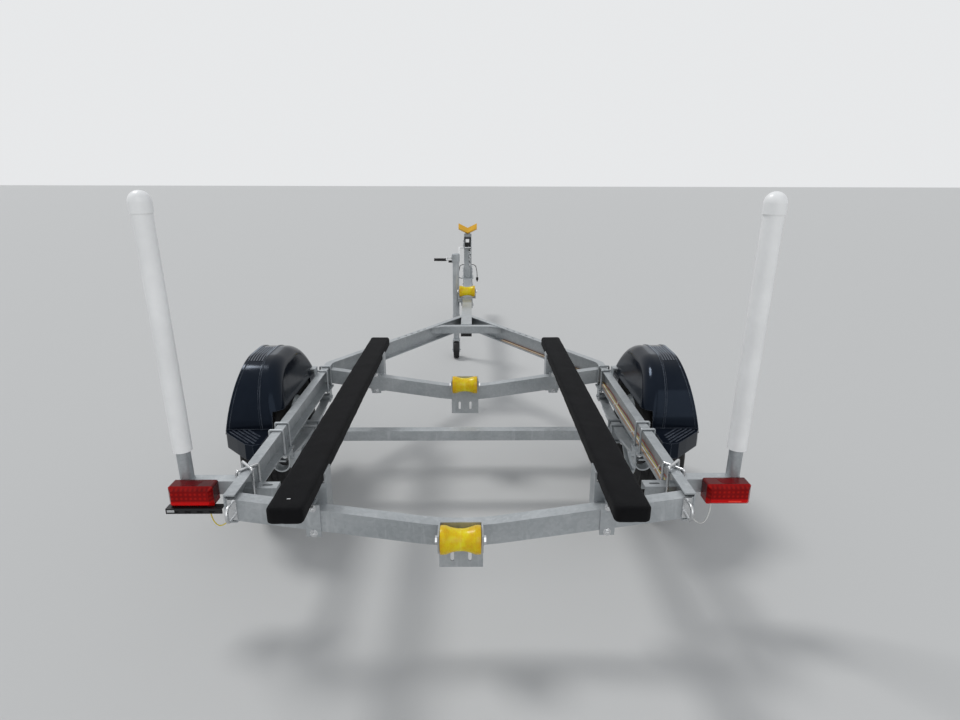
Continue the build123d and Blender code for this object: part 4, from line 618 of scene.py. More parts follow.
# tyres: a smooth carcass with five rows of raised tread
tyre = {
    "x": 0.915,
    "axle": (-1.630, 0.3325),
    "steps": 84,
    "blockRise": 0.0055,
    "blockTaper": 0.0013,
    "middleTaper": 0.6,
    "ribTaper": 0.0010,
    "floor": 0.3266,
    "treadInside": 0.32,
    "rows": (0.014, 0.020, 0.042, 0.048, 0.0685),
    "rowSlack": 0.0005,
    "side": (
        (0.0770, 0.3252), (0.0830, 0.3215), (0.0878, 0.3150), (0.0925, 0.3065), (0.0962, 0.3030),
        (0.0972, 0.3000), (0.0966, 0.2975), (0.0988, 0.2850), (0.1012, 0.2700), (0.1020, 0.2560),
        (0.1008, 0.2420), (0.0985, 0.2325), (0.0990, 0.2290), (0.0970, 0.2235), (0.0910, 0.2130),
        (0.0820, 0.2045), (0.0745, 0.2005), (0.0725, 0.1985), (0.0715, 0.1903),
    ),
}


def treadFaces(build, low, high):
    # the tread's faces whose corners all lie between two distances from the middle
    slack = tyre["rowSlack"]
    return [face for face in build.faces
            if face.calc_center_median().yz.length > tyre["treadInside"]
            and all(low - slack <= abs(vert.co.x) <= high + slack for vert in face.verts)]


def makeTyre(name, side, body, node):
    build = bmesh.new()
    profile = mirrored([(x, tyre["floor"]) for x in tyre["rows"]] + list(tyre["side"]))
    spun(build, profile + profile[:1], tyre["steps"])
    bmesh.ops.remove_doubles(build, verts=build.verts, dist=mergeGap)
    bmesh.ops.recalc_face_normals(build, faces=build.faces)
    rows, rise, taper = tyre["rows"], tyre["blockRise"], tyre["blockTaper"]
    crown = treadFaces(build, rows[0], rows[0])
    middle = treadFaces(build, rows[1], rows[2])
    shoulder = treadFaces(build, rows[3], rows[4])
    bmesh.ops.inset_region(build, faces=crown, thickness=tyre["ribTaper"], depth=rise, use_even_offset=True)
    bmesh.ops.inset_individual(build, faces=middle, thickness=taper * tyre["middleTaper"], depth=rise)
    bmesh.ops.inset_individual(build, faces=shoulder, thickness=taper, depth=rise)
    bmesh.ops.translate(build, vec=(side * tyre["x"], *tyre["axle"]), verts=build.verts)
    finished(name, build, body, "tyre", (node,), 26.0)


for side, word in wheels:
    makeTyre(f"treadedTyre_{word}", side, f"{word}_wheel", f"tyre_{word}")
print("tyres made")

# hubs with lug nuts and a pressed bearing cap
hub = {
    "profile": (
        (-0.046, 0.0175), (-0.046, 0.0375), (-0.0435, 0.042), (-0.004, 0.042), (-0.002, 0.0445),
        (0.0, 0.0735), (0.0015, 0.0758), (0.0085, 0.0758), (0.0088, 0.0415), (0.028, 0.0415),
        (0.034, 0.0375), (0.045, 0.0345), (0.046, 0.0335), (0.046, 0.0292), (0.0485, 0.0292),
        (0.0495, 0.0278), (0.0500, 0.0268), (0.0630, 0.0262), (0.0672, 0.0245), (0.0695, 0.0205),
        (0.0698, 0.0060), (0.0685, 0.0050), (0.0685, 0.0),
    ),
    "lugs": 5,
    "lugCircle": 0.05715,
    "lugSeat": 0.0152,
    "lug": (
        (0.0, 0.0118), (0.0035, 0.0118), (0.0060, 0.0098), (0.0130, 0.0098), (0.0165, 0.0070),
        (0.0178, 0.0030), (0.0179, 0.0),
    ),
}


def makeHub(name, side, body, node):
    build = bmesh.new()
    spun(build, hub["profile"], 48)
    circle = hub["lugCircle"]
    for lug in range(hub["lugs"]):
        angle = 2 * math.pi * lug / hub["lugs"]
        seat = Matrix.Translation((hub["lugSeat"], circle * math.sin(angle), -circle * math.cos(angle)))
        spun(build, hub["lug"], 6, seat, 1)
    if side < 0:
        bmesh.ops.scale(build, vec=(-1, 1, 1), verts=build.verts)
    bmesh.ops.translate(build, vec=(side * tyre["x"], *tyre["axle"]), verts=build.verts)
    finished(name, build, body, "galvanised", (node,), others=("bright_steel",))


for side, word in wheels:
    makeHub(f"wheelHub_{word}", side, f"{word}_wheel", f"hub_{word}")
print("hubs made")

# bunks: boards wrapped in lightly rippled black carpet, stapled along the underside and at the rear end
bunk = {
    "size": (0.112, 2.030, 0.056),
    "middle": (0.515, -1.880, 0.612),
    "corner": 0.012,
    "endChamfer": 0.016,
    "rows": 150,
    "columns": 7,
    # how deep the carpet lies, as a steady share and a rippled share of the wave
    "wave": 0.0007,
    "steady": 1.1,
    "rippled": 0.6,
    # how fast each ripple runs along the board, and across it or up its height
    "ripples": ((31.0, 17.0), (12.7, -23.0), (83.0, 60.0)),
    # the seam below: its place, its width, its depth in waves and the height that it keeps under
    "seam": (0.012, 0.006, 1.6, -0.02),
    # distances from the middle, across and up, over which the wave grows to its full depth
    "grown": (0.05, 0.02),
    "staples": 26,
    "stapleRun": 1.94,
    "stapleDrop": 0.0264,
    "stapleSize": (0.0010, 0.0100, 0.0012),
    "endStaples": (-0.030, 0.0, 0.030),
    "endStaplePlace": (1.0110, 0.0166),
    "endStapleSize": (0.0100, 0.0010, 0.0012),
    "stapleEdge": 0.0003,
    "topStaple": (-0.515, -2.835, 0.6396),
    "topStapleSize": (0.0110, 0.0050, 0.0016),
    "topStapleEdge": 0.0004,
}


def pulledIn(x, y, z):
    # how deep the carpet lies under the board's true face
    along, upward, quick = bunk["ripples"]
    ripple = math.sin(along[0] * y + along[1] * x) * math.sin(upward[0] * y + upward[1] * z)
    ripple += 0.5 * math.sin(quick[0] * y + quick[1] * x)
    spot, width, depth, below = bunk["seam"]
    seam = depth * math.exp(-((x - spot) / width) ** 2) if z < below else 0.0
    return bunk["wave"] * (bunk["steady"] + bunk["rippled"] * ripple + seam)


def makeBunk(name, side, node):
    build = bmesh.new()
    block(build, bunk["size"], (0, 0, 0))
    width, length, thick = bunk["size"]
    bevelled(build, edgesAlong(build, 2, thick / 2), bunk["endChamfer"], 2)
    uprights = edgesAlong(build, 2, thick / 2)
    bevelled(build, [edge for edge in build.edges if edge not in uprights], bunk["corner"], 4)
    bmesh.ops.subdivide_edges(build, edges=edgesAlong(build, 1, length / 2), cuts=bunk["rows"])
    bmesh.ops.subdivide_edges(build, edges=edgesAlong(build, 0, width / 2), cuts=bunk["columns"])
    across, up = bunk["grown"]
    for vert in build.verts:
        x, y, z = vert.co
        pull = pulledIn(x, y, z)
        vert.co.z -= pull * (1 if z > 0 else -1) * min(1.0, abs(z) / up)
        vert.co.x -= pull * (1 if x > 0 else -1) * min(1.0, abs(x) / across)
    bmesh.ops.scale(build, vec=(side, 1, 1), verts=build.verts)
    x, y, z = bunk["middle"]
    bmesh.ops.translate(build, vec=(side * x, y, z), verts=build.verts)
    board = finished(name, build, "frame", "carpet", (node,), 60.0)


for side, word in wheels:
    makeBunk(f"carpetedBunk_{word}", side, f"bunk_{word}")
staples = bmesh.new()
x, y, z = bunk["middle"]
endRun, endDrop = bunk["endStaplePlace"]
for side in bothSides:
    for row in range(bunk["staples"]):
        spot = y - bunk["stapleRun"] / 2 + bunk["stapleRun"] * row / (bunk["staples"] - 1)
        place = (side * (x + bunk["seam"][0]), spot, z - bunk["stapleDrop"])
        block(staples, bunk["stapleSize"], place, bunk["stapleEdge"], 1)
    for shift in bunk["endStaples"]:
        place = (side * (x + shift), y - endRun, z - endDrop)
        block(staples, bunk["endStapleSize"], place, bunk["stapleEdge"], 1)
block(staples, bunk["topStapleSize"], bunk["topStaple"], bunk["topStapleEdge"], 1)
finished("bunkStaples", staples, "frame", "bright_steel")
print("bunks wrapped")

# keel rollers: spools with rounded ends and a mould line
rollers = {
    "flat": 0.0482,
    "end": 0.047,
    "waist": 0.036,
    "line": ((0.0, 0.0366), (0.0008, 0.0366), (0.0013, 0.036)),
    "rim": (
        (0.0495, 0.0462), (0.0510, 0.0462), (0.0520, 0.0469), (0.0635, 0.0470), (0.0655, 0.0462),
        (0.0668, 0.0440), (0.0670, 0.0240), (0.0655, 0.0225), (0.0655, 0.0150), (0.0670, 0.0138),
        (0.0670, 0.0083),
    ),
    "curveSteps": 12,
    "places": (
        ("rearKeelSpool", "rear_keel_roller", "rear_roller", (0.0, -2.741, 0.436)),
        ("frontKeelSpool", "front_keel_roller", "front_roller", (0.0, -1.3064, 0.482)),
        ("tongueKeelSpool", "tongue_keel_roller", "tongue_roller", (0.0, 0.770, 0.626)),
    ),
}
spoolHalf = list(rollers["line"])
for step in range(1, rollers["curveSteps"] + 1):
    along = rollers["flat"] * step / rollers["curveSteps"]
    swell = (rollers["end"] - rollers["waist"]) * (along / rollers["flat"]) ** 2
    spoolHalf.append((along, rollers["waist"] + swell))
spoolHalf += rollers["rim"]
for name, body, node, place in rollers["places"]:
    build = bmesh.new()
    profile = [(-along, radius) for along, radius in reversed(spoolHalf[1:])] + spoolHalf
    spun(build, profile, 72, Matrix.Translation(place))
    finished(name, build, body, "yellow_roller", (node,), 24.0)
print("rollers turned")

# nuts, bolt heads and washers on the frame: (width over flats, height, length of the bolt's end)
nuts = {
    "m10": nutMesh(0.016, 0.008, 0.004),
    "m12Flush": nutMesh(0.018, 0.0072, 0.0),
    "m12Head": nutMesh(0.018, 0.0074, 0.0),
    "m8": nutMesh(0.012, 0.0045, 0.0),
    "m16": nutMesh(0.023, 0.0068, 0.0),
    "pin": nutMesh(0.024, 0.0080, 0.0),
}
down = (0, 0, -1)
outwards = (1, 0, 0)
railBolts = (0.79135, 0.73665)
# (size, x, y, z, facing), each one made on both sides; first those that face down
fastenerRows = [("m12Flush", 0.761 + leg * 0.02825, -1.630 + side * 0.033, 0.2981, down)
                for leg in bothSides for side in bothSides]
fastenerRows += [("m10", x, -2.490 + side * 0.0316, 0.4600, down) for x in railBolts for side in bothSides]
fastenerRows += [("m10", x, y + side * 0.040, 0.4600, down)
                 for x in railBolts for y in (-1.300, -2.110) for side in bothSides]
# on both faces of each crossmember's bunk angle
for yFace in (-2.6292, -1.1946):
    for height in (0.52068, 0.42814):
        fastenerRows.append(("m10", 0.4907, yFace - 0.0568, height, (0, -1, 0)))
        fastenerRows.append(("m10", 0.4907, yFace + 0.0060, height, (0, 1, 0)))
# spring eyes, clamps on the tongue, coupler, winch, roller pins and fender arms
clampBolts = (
    (1.826, 0.4858), (1.974, 0.4858), (1.826, 0.6500), (1.974, 0.6500), (0.880, 0.4858), (0.960, 0.4858),
)
fastenerRows.append(("m16", 0.79025, -1.300, 0.41514, outwards))
fastenerRows += [("m12Head", 0.0461, y, z, outwards) for y, z in clampBolts]
fastenerRows.append(("m12Head", 0.0431, 2.530, 0.5299, outwards))
fastenerRows.append(("m8", 0.0370, 1.7749, 0.9610, outwards))
fastenerRows += [("pin", 0.0745, *place[1:], outwards) for *names, place in rollers["places"]]
fastenerRows += [("m10", 0.855, y, 0.4900, down) for y in (-2.025, -1.225)]
fasteners = bmesh.new()
for size, x, y, z, towards in fastenerRows:
    for side in bothSides:
        placed(fasteners, nuts[size], facing((side * x, y, z), (side * towards[0], towards[1], towards[2])))
finished("nutsAndBolts", fasteners, "frame", "bright_steel")
print("fasteners set:", 2 * len(fastenerRows))

# weld beads where the frame's members meet
seams = {
    # crossmembers to the rail webs: the web's x, the y faces, and z under, low and high
    "web": 0.7745,
    "crossmembers": ((-2.680, -2.6292), (-1.2454, -1.1946)),
    "webHeights": (0.4785, 0.4800, 0.5545),
    # guide bars to their flange plates
    "plate": 0.7862,
    "barSides": (-2.5154, -2.4646),
    "barHeights": (0.4822, 0.5330),
    "barBead": 0.0028,
    # posts to the bars
    "post": (0.981, -2.490, 0.5335),
    "postRing": 0.0246,
    "postBead": 0.0026,
    # stand plates to the post
    "stand": (0.0383, (1.8619, 1.9381), (0.578, 0.676)),
    "standBead": 0.0028,
    # eye plates to the rear face
    "eyes": ((0.738, 0.766), -2.6802, (0.482, 0.552)),
    "eyeBead": 0.0022,
}
welds = bmesh.new()
under, low, high = seams["webHeights"]
for yLow, yHigh in seams["crossmembers"]:
    for side in bothSides:
        x = side * seams["web"]
        weld(welds, (x, yLow, low), (x, yLow, high))
        weld(welds, (x, yHigh, low), (x, yHigh, high))
        weld(welds, (x, yLow, under), (x, yHigh, under))
for side in bothSides:
    x = side * seams["plate"]
    rear, front = seams["barSides"]
    low, high = seams["barHeights"]
    for z in (low, high):
        weld(welds, (x, rear, z), (x, front, z), seams["barBead"])
    for y in (rear, front):
        weld(welds, (x, y, low), (x, y, high), seams["barBead"])
    postX, postY, postZ = seams["post"]
    around = seams["postRing"]
    turns = [turn * math.pi / 6 for turn in range(13)]
    ring = [(side * postX + around * math.cos(turn), postY + around * math.sin(turn), postZ)
            for turn in turns]
    for start, end in zip(ring, ring[1:]):
        weld(welds, start, end, seams["postBead"])
    standX, standYs, (low, high) = seams["stand"]
    for y in standYs:
        weld(welds, (side * standX, y, low), (side * standX, y, high), seams["standBead"])
    eyeXs, eyeY, (low, high) = seams["eyes"]
    for x in eyeXs:
        weld(welds, (side * x, eyeY, low), (side * x, eyeY, high), seams["eyeBead"])
finished("weldBeads", welds, "frame", "galvanised", sharp=60.0)
print("welds laid")

# four thin wires clipped along the inside of the right rail, side by side under the front crossmember
loom = {
    "thick": 0.0046,
    "stray": 0.0012,
    # (x, y) along the rail's web, and how far the wires are drawn together
    "route": (
        (0.7722, -2.622, 0.6), (0.7722, -2.590, 0.3), (0.7722, -2.530, 0.0), (0.7722, -2.430, 0.1),
        (0.7722, -2.330, 0.5), (0.7722, -2.290, 0.6), (0.7722, -2.180, 0.1), (0.7722, -2.060, 0.0),
        (0.7722, -1.960, 0.6), (0.7722, -1.930, 0.6), (0.7722, -1.780, 0.0), (0.7722, -1.610, 0.6),
        (0.7722, -1.580, 0.6), (0.7722, -1.440, 0.1), (0.7722, -1.350, 0.5), (0.7722, -1.290, 1.0),
        (0.7722, -1.220, 1.0), (0.7680, -1.160, 1.0), (0.7477, -1.120, 1.0), (0.6220, -0.911, 0.7),
        (0.3950, -0.531, 0.7), (0.2600, -0.306, 0.7),
    ),
    # (name, colour slot, step in from the web and height where loose, the same where drawn together)
    "strands": (
        ("tanStrand", "yellow_wire", 0.0205, 0.4734, 0.0156, 0.4734),
        ("whiteStrand", "white_wire", 0.0120, 0.4734, 0.0104, 0.4734),
        ("yellowStrand", "yellow_wire", 0.0046, 0.4734, 0.0052, 0.4734),
        ("redStrand", "yellow_wire", 0.0, 0.4860, 0.0, 0.4734),
    ),
    "finishes": {
        "tanStrand": moulded("tanWire", (0.42, 0.24, 0.13), 0.5, wireGrain, 0.06),
        "redStrand": moulded("redWire", (0.26, 0.075, 0.045), 0.5, wireGrain, 0.06),
        "yellowStrand": moulded("paleYellowWire", (0.60, 0.50, 0.16), 0.5, wireGrain, 0.06),
    },
    # where the clips are along the rail, and (size, x, z) of each one's band and tab
    "clips": (-2.310, -1.945, -1.595),
    "clipBlocks": (
        ((0.0240, 0.0060, 0.0062), 0.7630, 0.4741),
        ((0.0050, 0.0060, 0.0180), 0.7722, 0.4800),
    ),
    "clipEdge": 0.0012,
}
for row, (name, slotName, looseIn, looseUp, drawnIn, drawnUp) in enumerate(loom["strands"]):
    route = []
    for step, (x, y, drawn) in enumerate(loom["route"]):
        stray = loom["stray"] * math.sin(2.1 * step + 1.7 * row) * (1.0 - drawn) if looseIn else 0.0
        inward = x - looseIn + (looseIn - drawnIn) * drawn - stray
        route.append((inward, y, looseUp + (drawnUp - looseUp) * drawn))
    swept = bpy.data.objects.new(name, wireCurve(name, route, loom["thick"], 2, 5))
    scene.collection.objects.link(swept)
    strandMesh = bpy.data.meshes.new_from_object(swept)
    bpy.data.objects.remove(swept)
    strandMesh.materials.clear()
    piece = ridden(bpy.data.objects.new(name, strandMesh), "frame", slotName)
    piece.material_slots[0].material = loom["finishes"].get(name, finishes[slotName])
clips = bmesh.new()
for y in loom["clips"]:
    for size, x, z in loom["clipBlocks"]:
        block(clips, size, (x, y, z), loom["clipEdge"])
finished("loomClips", clips, "frame", "white_wire")
print("loom clipped")

# grips on the two cranks, ribbed for the hand
grips = {
    "start": ((0.0, 0.0), (0.0, 0.0105), (0.0015, 0.0125), (0.0060, 0.0128), (0.0075, 0.0112)),
    "end": ((0.0945, 0.0112), (0.0962, 0.0130), (0.0995, 0.0130), (0.1015, 0.0105), (0.1020, 0.0)),
    "ribs": 11,
    "firstRib": 0.0100,
    "pitch": 0.0076,
    "swell": 0.0012,
    # one rib: how far along its top starts, its top ends and it ends, then the radius of its foot and its top
    "rib": (0.0012, 0.0044, 0.0056),
    "foot": 0.0108,
    "top": 0.0118,
    "places": (
        ("winchHandGrip", "winch_handle", "winch_grip", (-0.0900, 1.7089, 0.7571)),
        ("jackHandGrip", "jack", "jack_grip", (-0.1766, 0.7700, 0.8950)),
    ),
}
gripProfile = list(grips["start"])
rise, fall, farFoot = grips["rib"]
foot = grips["foot"]
for rib in range(grips["ribs"]):
    start = grips["firstRib"] + grips["pitch"] * rib
    top = grips["top"] + grips["swell"] * math.sin(math.pi * (rib + 1) / (grips["ribs"] + 1))
    gripProfile += [(start, foot), (start + rise, top), (start + fall, top), (start + farFoot, foot)]
gripProfile += grips["end"]
for name, body, node, place in grips["places"]:
    build = bmesh.new()
    spun(build, gripProfile, 32, facing(place, (-1, 0, 0)))
    finished(name, build, body, "black_plastic", (node,), 40.0)
print("grips turned")

# winch: the strap's coil, the gear and the shaft are one drum
winch = {
    "drum": (0.0, 1.8099, 0.930),
    # the coil: its two sides, its inner radius and its shoulders' radius
    "coilSides": (-0.0230, 0.0275),
    "coilCore": 0.0120,
    "coilShoulder": 0.0325,
    # its outside, a row of points that rise and fall a little
    "coilPoints": 63,
    "coilFirst": -0.0225,
    "coilPitch": 0.0008,
    "coilRadius": 0.0334,
    "coilRipple": 0.0003,
    "coilRhythm": 1.9,
    "teeth": 34,
    "gear": 0.0350,
    "gearPlace": -0.027,
    "gearWidth": 0.006,
    "tooth": 0.0027,
    "toothTaper": 0.72,
    "shaft": ((0.0410, 0.0088), (0.0420, 0.0075), (0.0420, 0.0)),
}
build = bmesh.new()
drumPlace = Matrix.Translation(winch["drum"])
left, right = winch["coilSides"]
coil = [(left, winch["coilCore"]), (left, winch["coilShoulder"])]
for step in range(winch["coilPoints"]):
    ripple = winch["coilRipple"] * math.sin(winch["coilRhythm"] * step)
    coil.append((winch["coilFirst"] + winch["coilPitch"] * step, winch["coilRadius"] + ripple))
coil += [(right, winch["coilShoulder"]), (right, winch["coilCore"])]
spun(build, coil, 56, drumPlace)
coilVerts = set(build.verts)
coilFaces = set(build.faces)
disc(build, winch["gear"], winch["gearWidth"], 2 * winch["teeth"], winch["gearPlace"])
flanks = [face for face in build.faces if face not in coilFaces and abs(face.normal.x) < 0.5]
flanks.sort(key=lambda face: math.atan2(face.calc_center_median().z, face.calc_center_median().y))
for tooth in bmesh.ops.extrude_discrete_faces(build, faces=flanks[::2])["faces"]:
    outward = Vector((0, *tooth.calc_center_median().yz)).normalized() * winch["tooth"]
    bmesh.ops.translate(build, vec=outward, verts=tooth.verts)
    bmesh.ops.scale(build, vec=(1.0, winch["toothTaper"], winch["toothTaper"]), verts=tooth.verts,
                    space=Matrix.Translation(-tooth.calc_center_median()))
moved(build, coilVerts, drumPlace)
for face in build.faces:
    if face not in coilFaces:
        face.material_index = 1
spun(build, mirrored(winch["shaft"]), 32, drumPlace, 1)
finished("strapDrum", build, "winch_spool", "black_strap", ("winch_drum",), others=("bright_steel",))

# the winch's cover with a blank plate, and by the left lamp a dark strip of painted shade behind the plate
# holder's slots and the holder's clip
# (piece, slot, blocks of size and place, bevel)
sheetWork = (
    ("winchCover", "black_plastic", (
        ((0.0700, 0.0016, 0.0860), (0.0, 1.7596, 0.9480)),
        ((0.0700, 0.0160, 0.0016), (0.0, 1.7670, 0.9066))), 0.0006),
    # painted shade: a dark strip that makes the plate holder's slots look dark
    ("holderBacking", "black_plastic", (((0.1830, 0.0012, 0.0160), (-0.930, -2.5776, 0.4510)),), 0.0004),
    ("holderClip", "bright_steel", (((0.0260, 0.0012, 0.0090), (-1.010, -2.5828, 0.4535)),), 0.0005),
    ("blankPlate", "white_pvc", (((0.0360, 0.0008, 0.0330), (-0.0030, 1.7584, 0.9560)),), 0.0003),
)
for name, slotName, blocks, bevel in sheetWork:
    build = bmesh.new()
    for size, place in blocks:
        block(build, size, place, bevel)
    finished(name, build, "frame", slotName)
print("winch dressed")

# fenders: the ribs of the top pad run on down the rear slope
padRibs = {
    "middle": 0.959,
    "pitch": 0.0125,
    "count": 6,
    "centre": (-1.680, 0.482),
    "radius": 0.2862,
    "steps": 5,
    "turn": 3.4,
    "size": (0.0060, 0.0176, 0.0034),
    "edge": 0.0008,
}
# painted highlight: the pad's ribs are coloured paler than the fender
highlightPaintedRib = moulded("highlightPaintedRib", (0.075, 0.085, 0.105), 0.5, 400.0, 0.1, paleShift=0.03, gloss=0.3)
ribs = bmesh.new()
centreY, centreZ = padRibs["centre"]
for side in bothSides:
    for rib in range(padRibs["count"]):
        x = padRibs["middle"] + (rib - (padRibs["count"] - 1) / 2) * padRibs["pitch"]
        for step in range(padRibs["steps"]):
            angle = math.radians((step + 0.5) * padRibs["turn"])
            y = centreY - padRibs["radius"] * math.sin(angle)
            z = centreZ + padRibs["radius"] * math.cos(angle)
            turn = Matrix.Rotation(angle, 4, "X")
            block(ribs, padRibs["size"], (side * x, y, z), padRibs["edge"], 1, turn)
finished("padRibs", ribs, "frame", "gloss_black").material_slots[0].material = highlightPaintedRib
print("fender pads ribbed")

# lamps: a dark board seen through the top of each lens, a bright strip low on the right one
lampTrim = {
    "x": 0.940,
    "board": (0.060, 0.030, 0.0006),
    "middle": (-2.5420, 0.5401),
    "narrow": 0.76,
    "strip": (0.046, 0.0006, 0.0050),
    "stripPlace": (0.960, -2.5805, 0.4800),
    "stripEdge": 0.0002,
}
deepLens = moulded("deepLens", (0.13, 0.004, 0.006), 0.4, 300.0, 0.05, gloss=0.05)
clearLens = moulded("clearLens", (0.86, 0.035, 0.015), 0.2, 300.0, 0.05)
boards = bmesh.new()
for side in bothSides:
    block(boards, lampTrim["board"], (side * lampTrim["x"], *lampTrim["middle"]))
for vert in boards.verts:
    if vert.co.y < lampTrim["middle"][0]:
        centre = math.copysign(lampTrim["x"], vert.co.x)
        vert.co.x = centre + (vert.co.x - centre) * lampTrim["narrow"]
finished("lampBoards", boards, "frame", "red_lens").material_slots[0].material = deepLens
strips = bmesh.new()
block(strips, lampTrim["strip"], lampTrim["stripPlace"], lampTrim["stripEdge"], 1)
finished("lampStrip", strips, "frame", "red_lens").material_slots[0].material = clearLens
print("lamps trimmed")

# bow stop: a moulded V with rounded edges, its wings folded and the whole leaning
bowStop = {
    "wing": 0.092,
    "rise": 0.0335,
    "low": -0.040,
    "high": 0.020,
    "thick": 0.026,
    "edge": 0.0035,
    "sharp": 17.0,
    "middle": (0.0, 1.8619, 1.052),
    "lean": 35.0,
    "fold": 0.032,
    "foldFrom": 0.4,
}
build = bmesh.new()
wing, rise, low, high = (bowStop[key] for key in ("wing", "rise", "low", "high"))
outline = (
    (0.0, low), (wing, rise + low), (wing, rise + high),
    (0.0, high), (-wing, rise + high), (-wing, rise + low),
)
corners = [build.verts.new((x, 0.0, z)) for x, z in outline]
wings = [build.faces.new([corners[at] for at in order]) for order in ((0, 1, 2, 3), (0, 3, 4, 5))]
grown = bmesh.ops.extrude_face_region(build, geom=wings)["geom"]
backVerts = [item for item in grown if isinstance(item, bmesh.types.BMVert)]
bmesh.ops.translate(build, vec=(0, -bowStop["thick"], 0), verts=backVerts)
bmesh.ops.recalc_face_normals(build, faces=build.faces)
for corner in build.verts:
    corner.co.y += bowStop["fold"] * (bowStop["foldFrom"] - abs(corner.co.x) / wing)
bevelled(build, sharpEdges(build, bowStop["sharp"]), bowStop["edge"], 3)
lean = Matrix.Rotation(-math.radians(bowStop["lean"]), 3, "X")
bmesh.ops.rotate(build, cent=(0, 0, 0), matrix=lean, verts=build.verts)
bmesh.ops.translate(build, vec=bowStop["middle"], verts=build.verts)
finished("bowStopPad", build, "frame", "amber_rubber", ("bow_stop",), 40.0)
print("bow stop moulded")

# coupler: the shell with formed edges, its latch between two ears on a pivot pin, and a ringed safety pin
coupler = {
    "edge": 0.0035,
    "sharp": 30.0,
    "ear": (0.0030, 0.0520, 0.0300),
    "earPlace": (0.0158, 2.6050, 0.5850),
    "earEdge": 0.0012,
    "pivotPlace": (0, 2.6080, 0.5860),
    "pivot": ((0.0203, 0.0045), (0.0215, 0.0036), (0.0215, 0.0)),
    "rivets": (2.5100, 2.5900),
    "rivetPlace": (0.0430, 0.5510),
    "rivet": ((0.0, 0.0065), (0.0018, 0.0060), (0.0030, 0.0035), (0.0033, 0.0)),
    "bossPlace": (0.0, 2.8606, 0.5486),
    "boss": ((-0.002, 0.0165), (0.0035, 0.0160), (0.0050, 0.0140), (0.0050, 0.0)),
    "ballNut": ((0.0048, 0.0105), (0.0110, 0.0105), (0.0122, 0.0090), (0.0122, 0.0)),
    "weldY": 2.4950,
    "weldSides": (0.0425, 0.4900, 0.5700),
    "weldTop": (0.0400, 0.5725),
    "weldBead": 0.0026,
    "ring": (0.0235, 2.5900, 0.5720),
    "ringRadius": 0.0110,
    "ringWire": 0.0012,
    "pin": ((-0.0240, 0.0), (-0.0240, 0.0028), (0.0235, 0.0028), (0.0235, 0.0)),
    "pinPlace": (0, 2.5900, 0.5830),
}
shell = bmesh.new()
shell.from_mesh(nodes["coupler"].data)
bmesh.ops.transform(shell, matrix=nodes["coupler"].matrix_world, verts=shell.verts)
bmesh.ops.remove_doubles(shell, verts=shell.verts, dist=mergeGap)
bevelled(shell, sharpEdges(shell, coupler["sharp"]), coupler["edge"], 3, True)
shaped("formedCoupler", shell, "frame", "galvanised", ("coupler",), 40.0)
latch = bmesh.new()
earX, earY, earZ = coupler["earPlace"]
rivetX, rivetZ = coupler["rivetPlace"]
for side in bothSides:
    block(latch, coupler["ear"], (side * earX, earY, earZ), coupler["earEdge"])
    for y in coupler["rivets"]:
        spun(latch, coupler["rivet"], 16, facing((side * rivetX, y, rivetZ), (side, 0, 0)))
upwards = facing(coupler["bossPlace"], (0, 0, 1))
spun(latch, coupler["boss"], 28, upwards)
spun(latch, coupler["ballNut"], 6, upwards)
y = coupler["weldY"]
sideX, low, high = coupler["weldSides"]
for side in bothSides:
    weld(latch, (side * sideX, y, low), (side * sideX, y, high), coupler["weldBead"])
topX, topZ = coupler["weldTop"]
weld(latch, (-topX, y, topZ), (topX, y, topZ), coupler["weldBead"])
spun(latch, mirrored(coupler["pivot"]), 20, Matrix.Translation(coupler["pivotPlace"]))
finished("couplerLatch", latch, "frame", "galvanised")
pins = bmesh.new()
x, y, z = coupler["ring"]
around = coupler["ringRadius"]
turns = [turn * math.pi / 12 for turn in range(25)]
ring = [(x, y + around * math.cos(turn), z + around * math.sin(turn)) for turn in turns]
for start, end in zip(ring, ring[1:]):
    run = Vector(end) - Vector(start)
    spun(pins, ((0.0, coupler["ringWire"]), (run.length, coupler["ringWire"])), 8, facing(start, run))
spun(pins, coupler["pin"], 12, Matrix.Translation(coupler["pinPlace"]))
finished("safetyPin", pins, "frame", "bright_steel", merge=0.0001)
print("coupler dressed")

# jack caster: a steel-centred wheel with a moulded tread, each profile from its middle outwards
caster = {
    "middle": (-0.0986, 0.8820, 0.0760),
    "tread": (
        (0.0020, 0.0760), (0.0150, 0.0758), (0.0205, 0.0748), (0.0240, 0.0715), (0.0250, 0.0640),
        (0.0245, 0.0600), (0.0085, 0.0600),
    ),
    "centre": (
        (0.0230, 0.0602), (0.0200, 0.0560), (0.0160, 0.0520), (0.0175, 0.0420), (0.0160, 0.0260),
        (0.0165, 0.0202), (0.0235, 0.0198), (0.0250, 0.0185), (0.0250, 0.0062),
    ),
}
build = bmesh.new()
casterPlace = Matrix.Translation(caster["middle"])
spun(build, mirrored(caster["tread"]), 56, casterPlace)
spun(build, mirrored(caster["centre"]), 56, casterPlace, 1)
finished("casterTyre", build, "caster_roller", "black_plastic", ("caster_wheel",), others=("galvanised",))
print("caster made")

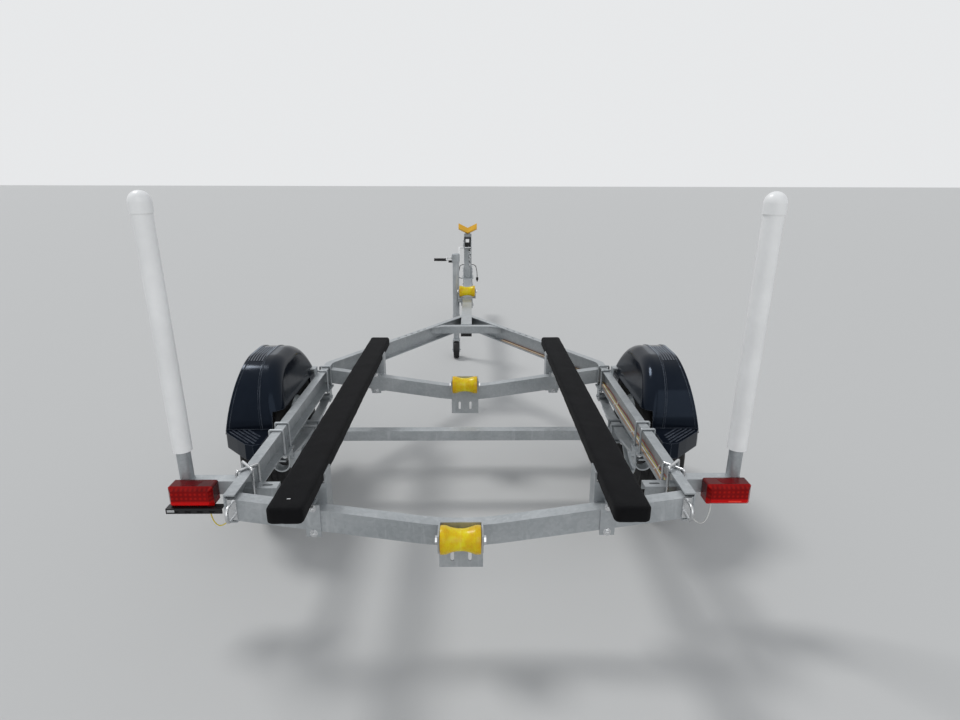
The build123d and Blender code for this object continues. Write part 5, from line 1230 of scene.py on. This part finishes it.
# pale studio: floor, backdrop colour and soft lamps
studio = {
    "floorColour": (0.56, 0.56, 0.55, 1.0),
    "floorSize": 400.0,
    "skyLevel": 0.50,
    "skyColour": (0.90, 0.94, 1.00, 1.0),
    "backLevel": 1.0,
    "backColour": (0.80, 0.81, 0.82, 1.0),
    # (name, where it shines from, width of the soft disc in degrees, strength)
    "lamps": (
        ("key", (-3.0, 2.2, 5.5), 16.0, 1.25),
        ("fill", (1.5, -5.0, 3.0), 50.0, 0.64),
    ),
}
floorMesh = bpy.data.meshes.new("floor")
floorBuild = bmesh.new()
bmesh.ops.create_grid(floorBuild, x_segments=1, y_segments=1, size=studio["floorSize"] / 2)
floorBuild.to_mesh(floorMesh)
floorBuild.free()
floor = bpy.data.objects.new("floor", floorMesh)
scene.collection.objects.link(floor)
floorMaterial, floorShader = newMaterial("floor", 0.9)[::2]
floorShader.inputs["Base Color"].default_value = studio["floorColour"]
floorMesh.materials.append(floorMaterial)

# the sky's colour lights the trailer, and the backdrop's is what the camera and the shiny faces see
world = bpy.data.worlds.new("studio")
scene.world = world
world.use_nodes = True
sky = world.node_tree
skyLight = sky.nodes["Background"]
skyLight.inputs["Color"].default_value = studio["skyColour"]
skyLight.inputs["Strength"].default_value = studio["skyLevel"]
skyBack = sky.nodes.new("ShaderNodeBackground")
skyBack.inputs["Color"].default_value = studio["backColour"]
skyBack.inputs["Strength"].default_value = studio["backLevel"]
rays = sky.nodes.new("ShaderNodeLightPath").outputs
seen = worked(sky, "MAXIMUM", rays["Is Camera Ray"], rays["Is Glossy Ray"])
through = worked(sky, "MAXIMUM", seen, rays["Is Transmission Ray"])
skyMix = sky.nodes.new("ShaderNodeMixShader")
sky.links.new(through, skyMix.inputs["Fac"])
sky.links.new(skyLight.outputs["Background"], skyMix.inputs[1])
sky.links.new(skyBack.outputs["Background"], skyMix.inputs[2])
sky.links.new(skyMix.outputs["Shader"], sky.nodes["World Output"].inputs["Surface"])
for name, place, spread, strength in studio["lamps"]:
    light = bpy.data.lights.new(name, "SUN")
    light.angle = math.radians(spread)
    light.energy = strength
    lamp = bpy.data.objects.new(name, light)
    lamp.location = place
    lamp.rotation_euler = (-Vector(place)).to_track_quat("-Z", "Y").to_euler()
    scene.collection.objects.link(lamp)
scene.view_settings.view_transform = "Standard"
print("studio lit")
